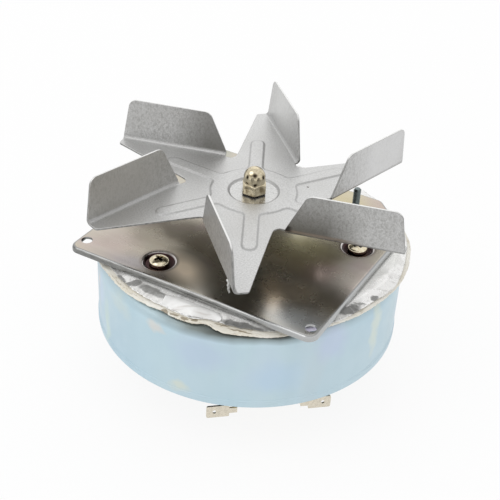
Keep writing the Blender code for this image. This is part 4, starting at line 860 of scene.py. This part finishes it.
def drum_housing():
    bm = bmesh.new()
    steps = 144
    top = ring(bm, circle(DRUM_R - DRUM_CORNER_R, steps), DRUM_TOP)
    holes = screw_holes(bm, DRUM_TOP)
    flat(bm, top, ring(bm, circle(SHAFT_HOLE_R, 48), DRUM_TOP), *holes)
    corner = arc((DRUM_R - DRUM_CORNER_R, DRUM_TOP - DRUM_CORNER_R), DRUM_CORNER_R, 90 * deg, 0.0, 10)[1:]
    hem_r, hem_top = DRUM_R + HEM_STEP, DRUM_BOTTOM + HEM_H
    side = [
        (DRUM_R, hem_top + 0.5 * mm), (DRUM_R + 0.15 * mm, hem_top + 0.2 * mm), (hem_r, hem_top - 0.1 * mm),
        (hem_r, DRUM_BOTTOM + 0.4 * mm), (hem_r - 0.1 * mm, DRUM_BOTTOM)]
    walls(bm, [top] + [ring(bm, circle(r, steps), z) for r, z in corner + side])
    add_sheet("drum_housing_drawn", bm, DRUM_T, 0.15 * mm, "motor", "drum_housing", drum_zinc(), "drum_zinc")


def plate_outline(inset):
    x, y = PLATE_X / 2 - inset, PLATE_Y / 2 - inset
    clip = PLATE_CLIP - inset * (2 - math.sqrt(2))
    r = PLATE_CORNER_R - inset
    return rounded([(-x, -y, r), (x, FRONT_SLANT - y, r), (x, y - clip, r), (x - clip, y, r), (-x, y, r)])


def mounting_plate():
    bm = bmesh.new()
    steps = 6
    skirt = [
        ring(bm, plate_outline(LIP_BEND * (1 - math.sin(a))), PLATE_TOP - LIP_BEND * (1 - math.cos(a)))
        for a in [90 * deg * i / steps for i in range(steps + 1)]]
    skirt.append(ring(bm, plate_outline(0.0), LIP_Z))
    inner = [ring(bm, circle(SHAFT_HOLE_R, 48), PLATE_TOP), ring(bm, circle(STUD_R + GAP, 24, STUD_AT), PLATE_TOP)]
    inner += [ring(bm, circle(FIXING_R, 32, at), PLATE_TOP) for at in FIXINGS]
    for at in SCREWS:
        dish = [
            ring(bm, circle(DISH_R + (DISH_FLOOR_R - DISH_R) * i / steps, 48, at),
                 PLATE_TOP - DISH_DEPTH * ease(i / steps)) for i in range(steps + 1)]
        inner.append(dish[0])
        walls(bm, dish)
        flat(bm, dish[-1], ring(bm, circle(SCREW_R + GAP, 24, at), PLATE_TOP - DISH_DEPTH))
    flat(bm, skirt[0], *inner)
    walls(bm, skirt)
    zinc = plate_zinc()
    add_sheet("mounting_plate_pressed", bm, PLATE_T, 0.12 * mm, "motor", "mounting_plate", zinc, "plate_zinc")


def plate_screw(number, at, material):
    """Pan head with a tapered cross recess, over its plain shank."""
    bm = bmesh.new()
    # The head's height at each share of its radius
    crown = (0.0, 0.25, 0.45, 0.6, 0.72, 0.82, 0.9, 0.96)
    head = [(HEAD_R * s, HEAD_H * (1.0 - 0.45 * s ** 3.2)) for s in crown]
    head += [
        (HEAD_R * 0.995, HEAD_H * 0.48), (HEAD_R, HEAD_H * 0.40), (HEAD_R, 0.15 * mm), (HEAD_R - 0.15 * mm, 0.0)]
    shank = [(SCREW_R, 0.0), (SCREW_R, 0.4 * mm - SCREW_L), (SCREW_R - 0.4 * mm, -SCREW_L), (0.0, -SCREW_L)]
    lathe(bm, [(r, SEAT + z) for r, z in head + shank], 48, at)
    outward(bm)
    screw = add_piece(
        f"plate_screw_{number}_turned", bm, "motor", f"plate_screw_{number}", material, "screw_zinc")
    tool = bmesh.new()
    wing, slot, depth = HEAD_R * 0.66, 0.68 * mm, 1.7 * mm
    sides = []
    for z, share in ((HEAD_H + 0.5 * mm, 1.0), (HEAD_H - depth, 0.5)):
        cross = []
        for quarter in range(4):
            corner = [(wing, -slot), (wing, slot), (slot * 1.3, slot * 1.3)]
            cross += turned([(x * share, y * share) for x, y in corner], quarter * 90 * deg)
        sides.append(ring(tool, moved(turned(cross, 24 * deg + MOTOR_TURN), at), SEAT + z))
    high, low = sides
    wall(tool, low, high)
    tool.faces.new(high)
    tool.faces.new(low)
    cut(screw, tool)


def plate_stud():
    """Threaded stud pressed through the plate, with a thin head under the sheet."""
    bm = bmesh.new()
    steps, rows = 24, 6
    low, high = PLATE_TOP + 0.2 * mm, STUD_TOP - 0.5 * mm
    thread = []
    count = round((high - low) / THREAD_PITCH * rows)
    for k in range(count + 1):
        z = low + (high - low) * k / count
        outline = []
        for i in range(steps):
            turn = (z / THREAD_PITCH - i / steps) % 1.0
            outline.append(polar(STUD_R - THREAD_DEPTH * (1 - abs(2 * turn - 1)), math.tau * i / steps))
        thread.append(ring(bm, moved(outline, STUD_AT), z))
    head_top = PLATE_TOP - PLATE_T - GAP
    lower = [ring(bm, circle(r, steps, STUD_AT), z) for r, z in (
        (STUD_HEAD_R, head_top - STUD_HEAD_H), (STUD_HEAD_R, head_top), (STUD_R, head_top), (STUD_R, low))]
    top = ring(bm, circle(STUD_R - 0.5 * mm, steps, STUD_AT), STUD_TOP)
    walls(bm, lower + thread + [top])
    bm.faces.new(lower[0])
    bm.faces.new(top)
    outward(bm)
    zinc = bright_metal("stud_zinc", (0.17, 0.20, 0.20), 0.25)
    add_piece("plate_stud_threaded", bm, "motor", "plate_stud", zinc, "stud_zinc")


# Insulation: a fibre blanket, its crumpled foil facing, and the loose torn flap at the front

# Angle in degrees, radius of the blanket's lower edge and of the foil's edge in millimetres
EDGE = [
    (-180, 70.4, 69.6), (-150, 70.2, 68.6), (-133, 69.3, 67.2), (-121, 68.0, 65.8), (-112, 67.7, 65.3),
    (-106, 67.1, 65.0), (-100, 66.3, 64.8), (-94, 65.2, 64.2), (-89, 66.0, 64.5), (-82, 66.1, 65.0),
    (-76, 64.4, 63.2), (-72, 66.8, 63.6), (-69, 67.9, 64.4), (-62, 68.3, 65.7), (-53, 69.2, 67.3),
    (-40, 68.0, 68.0), (-28, 68.2, 68.3), (-19, 68.6, 67.6), (-11, 68.8, 67.6), (-4, 69.4, 69.2),
    (2, 70.2, 69.9), (10, 70.8, 69.5), (20, 71.5, 69.6), (32, 72.6, 70.8), (50, 71.6, 70.8),
    (90, 70.6, 70.0), (130, 70.2, 69.5), (180, 70.4, 69.6)]

# The flap's two long edges, in millimetres: along the plate's edge and along the torn edge
FLAP_BACK = [
    (-6.6, -58.9), (-2.0, -57.6), (3.0, -57.3), (7.7, -57.6), (12.0, -57.5), (16.3, -57.3), (20.0, -57.5)]
FLAP_FRONT = [
    (-6.0, -63.9), (-1.7, -64.2), (3.0, -64.5), (7.6, -64.3), (12.6, -62.4), (16.9, -61.0), (20.6, -60.6)]


def add_soft(name, bm, material):
    return add_piece("insulation_" + name, bm, "motor", "insulation_disc", material, "insulation")


def uneven(x, y, z=0.0):
    return noise.noise(Vector((x, y, z)))


def edge_at(angle):
    """Radii of the blanket's lower edge and of the foil's edge at one angle."""
    degrees = (math.degrees(angle) + 180) % 360 - 180
    for (a, low_a, foil_a), (b, low_b, foil_b) in zip(EDGE, EDGE[1:]):
        if a <= degrees <= b:
            share = ease((degrees - a) / (b - a))
            return (low_a + (low_b - low_a) * share) * mm, (foil_a + (foil_b - foil_a) * share) * mm


def creases(x, y, scale, seed):
    """Sharp folds between flat facets, up to 1 along a fold."""
    return 1 - 3.6 * abs(uneven(x * scale, y * scale, seed))


def crumple(x, y):
    """Height of the crumpled foil in metres, over its mean level."""
    bent_x = x + 1.5 * mm * uneven(x * 120, y * 120, 3.0)
    bent_y = y + 1.5 * mm * uneven(x * 120, y * 120, 9.0)
    return (creases(bent_x, bent_y, 75, 1.3) * 0.30 + creases(bent_x, bent_y, 170, 5.1) * 0.09) * mm


def sagged(r, foil_r):
    """Mean height of the facing, which rounds down towards its edge."""
    return FOIL_LEVEL - ease(between(r, foil_r - 5 * mm, foil_r)) * 1.3 * mm


def beyond_plate(x, y):
    """How far a point lies outside the plate's turned-down edge."""
    front = PLATE_Y / 2 - FRONT_SLANT * (x + PLATE_X / 2) / PLATE_X
    return max(abs(x) - PLATE_X / 2, -y - front, y - PLATE_Y / 2)


def foil_height(r, angle, foil_r):
    x, y = polar(r, angle)
    tucks = 0.16 * mm * math.sin(97 * angle + 6 * uneven(x * 60, y * 60, 2.0))
    # The foil crumples only where the plate doesn't hold it, less under the flap and less at the right
    loose = between(r, FOIL_START, 56 * mm) * between(beyond_plate(x, y), 1.0 * mm, 4.0 * mm)
    loose *= 1 - 0.8 * between(x, -9 * mm, -5 * mm) * between(x, 25 * mm, 21 * mm)
    loose *= 1 - 0.6 * between(x, 46 * mm, 56 * mm)
    return sagged(r, foil_r) + loose * (crumple(x, y) * 0.9 + tucks * between(r, foil_r - 4 * mm, foil_r))


def ring_of(bm, steps, radius_and_height):
    """Closed ring through a radius and height for each angle, pressed down under the plate's edge."""
    verts = []
    for i in range(steps):
        angle = math.tau * i / steps
        r, z = radius_and_height(angle)
        x, y = polar(r, angle)
        if beyond_plate(x, y) < 0.4 * mm:
            z = min(z, LIP_Z - 0.35 * mm)
        verts.append(bm.verts.new((x, y, z)))
    return verts


def insulation_foil():
    bm = bmesh.new()
    steps, rows = 900, 34

    def row(share):
        def place(angle):
            foil_r = edge_at(angle)[1] + 0.25 * mm * uneven(*polar(90.0, angle), 1.0)
            r = FOIL_START + (foil_r - FOIL_START) * share
            return r, foil_height(r, angle, foil_r)
        return place
    outer = [ring_of(bm, steps, row(i / rows)) for i in range(rows + 1)]
    inner = ring(bm, circle(FOIL_START - 2 * mm, 120), FOIL_LEVEL)
    flat(bm, outer[0], inner)
    holes = screw_holes(bm, FOIL_LEVEL)
    flat(bm, inner, ring(bm, circle(SHAFT_HOLE_R, 48), FOIL_LEVEL), *holes)
    walls(bm, outer)
    face_up(bm)
    thicken(add_soft("foil", bm, foil()), 0.06 * mm)


def insulation_blanket(material):
    """Fibre body: level under the foil, its torn edge rounding down to the drum's shoulder."""
    bm = bmesh.new()
    steps, rows = 720, 9
    high = BLANKET_HIGH - 0.9 * mm
    edge_top, edge_low = high - 1.3 * mm, BLANKET_LOW + 0.3 * mm

    def row(share):
        def place(angle):
            low_r, foil_r = edge_at(angle)
            rough = 0.35 * mm * uneven(*polar(240.0, angle), share * 9)
            rough += 0.15 * mm * uneven(*polar(800.0, angle), share * 30)
            r = foil_r - TUCK + (low_r - foil_r + TUCK) * math.sin(share * 90 * deg) + rough
            return r, edge_top + (edge_low - edge_top) * (1 - math.cos(share * 90 * deg))
        return place
    rings = [ring_of(bm, steps, lambda angle: (49 * mm, high)), ring_of(bm, steps, lambda angle: (58 * mm, high))]
    rings += [ring_of(bm, steps, row(i / rows)) for i in range(rows + 1)]
    rings.append(ring_of(bm, steps, lambda angle: (edge_at(angle)[0] - TUCK, BLANKET_LOW + 0.05 * mm)))
    rings.append(ring_of(bm, steps, lambda angle: (62 * mm, BLANKET_LOW)))
    walls(bm, rings)
    top_holes, low_holes = [
        [ring(bm, circle(SHAFT_HOLE_R, 24), z)] + screw_holes(bm, z) for z in (high, BLANKET_LOW)]
    flat(bm, rings[0], *top_holes)
    flat(bm, rings[-1], *low_holes)
    for upper, lower in zip(top_holes, low_holes):
        wall(bm, upper, lower)
    outward(bm)
    add_soft("blanket", bm, material)


def along(points, share):
    """Point at a share of the way through a list of points, in metres."""
    at = share * (len(points) - 1)
    i = min(int(at), len(points) - 2)
    return Vector(points[i]).lerp(Vector(points[i + 1]), at - i) * mm


def insulation_flap():
    """Loose strip of the facing, puffed up over the blanket's edge and torn along the front."""
    bm = bmesh.new()
    columns, rows = 150, 16
    last = None
    for i in range(columns + 1):
        u = i / columns
        end = math.sqrt(max(0.0, 1 - max(0.0, (u - 0.93) / 0.07) ** 2))
        back, front = along(FLAP_BACK, u), along(FLAP_FRONT, u)
        middle = (back + front) / 2
        tear = (0.45 * uneven(u * 30, 0.3) + 0.2 * uneven(u * 90, 4.0)) * mm * (1.3 - u)
        lift = ease(between(u, 0.0, 0.16))
        row = []
        for j in range(rows + 1):
            v = j / rows
            point = middle + (back.lerp(front, v) - middle) * (0.12 + 0.88 * end)
            point += (front - back).normalized() * tear * v * v
            puff = 0.8 * mm * math.sin(math.pi * (0.14 + v * 0.76)) ** 0.8
            fold = 0.16 * mm * uneven(u * 7, v * 1.4, 6.0) * math.sin(math.pi * v)
            r = point.length
            foil_r = edge_at(math.atan2(point.y, point.x))[1]
            drape = sagged(min(r, foil_r), foil_r) - max(0.0, r - foil_r) * 0.75
            row.append(bm.verts.new((*point, drape + 0.18 * mm + (puff + fold) * lift)))
        if last:
            strip(bm, last, row)
        last = row
    outward(bm)
    thicken(add_soft("flap", bm, loose_film()), 0.12 * mm)


def insulation_fibres(material):
    """Short loose hairs that stand off the torn edge."""
    pick = random.Random(7)
    bm = bmesh.new()
    up = Vector((0.0, 0.0, 1.0))
    for _ in range(420):
        angle = pick.uniform(-165, 60) * deg
        low_r, foil_r = edge_at(angle)
        r = pick.uniform(foil_r - 0.6 * mm, low_r - 0.2 * mm)
        share = (r - foil_r + TUCK) / (low_r - foil_r + TUCK)
        point = Vector((*polar(r, angle), BLANKET_HIGH - 1.9 * mm - 1.6 * mm * max(0.0, share)))
        side = Vector((-math.sin(angle), math.cos(angle), 0.0)) * pick.choice((-1, 1))
        out = Vector((math.cos(angle), math.sin(angle), 0.0))
        heading = (side * pick.uniform(0.5, 1.2) + out * pick.uniform(0.1, 0.8)).normalized()
        droop = pick.uniform(0.1, 0.6)
        step = pick.uniform(0.15, 0.42) * mm
        last = None
        for k in range(5):
            width = 0.05 * mm * (1 - k / 6)
            here = [bm.verts.new(point + shift * width) for shift in (out, side, up)]
            if last:
                wall(bm, last, here)
            last = here
            heading = (heading - up * droop * 0.3 + side * pick.uniform(-0.2, 0.2)).normalized()
            point = point + heading * step
    add_soft("fibres", bm, material)


# Floor, light and background

def add_floor():
    bm = bmesh.new()
    bmesh.ops.create_grid(bm, x_segments=1, y_segments=1, size=FLOOR_HALF)
    floor = add_mesh("floor", bm)
    floor.location.z = FLOOR_LEVEL
    n = Nodes("floor")
    n.set(n.shader, Base_Color=(0.98, 0.98, 0.98), Roughness=0.9)
    glow = n.new("Emission", Color=(1.0, 1.0, 1.0), Strength=1.0)
    blend = n.new("MixShader")
    for socket, value in zip(blend.inputs, (n.times(n.seen(), 0.9), n.shader.outputs[0], glow.outputs[0])):
        n.put(socket, value)
    n.set(n.tree.nodes["Material Output"], Surface=blend.outputs[0])
    floor.data.materials.append(n.material)


def area_light(name, place, size, power):
    data = bpy.data.lights.new(name, "AREA")
    data.shape = "DISK"
    data.size = size
    data.energy = power
    light = add_object(name, data)
    light.location = place
    light.rotation_euler = (LAMP_AIM - Vector(place)).to_track_quat("-Z", "Y").to_euler()


def add_light():
    scene.world = bpy.data.worlds.new("world")
    n = Nodes("world", scene.world)
    n.set(n.shader, Color=(1.0, 1.0, 1.0), Strength=n.span(n.seen(), 0.0, 1.0, 0.8, 1.0))
    area_light("key", (-0.45, -0.55, 0.95), 0.8, 2.2)
    area_light("back", (-0.42, 0.78, 0.70), 0.9, 0.9)


add_camera()
dress_nodes()
fan_wheel()
fold_burr()
dome_nut()
drum_housing()
mounting_plate()
screw_metal = screw_zinc()
for number, at in enumerate(SCREWS, 1):
    plate_screw(number, at, screw_metal)
plate_stud()
insulation_foil()
wool = fibre()
insulation_blanket(wool)
insulation_flap()
insulation_fibres(wool)
add_floor()
add_light()
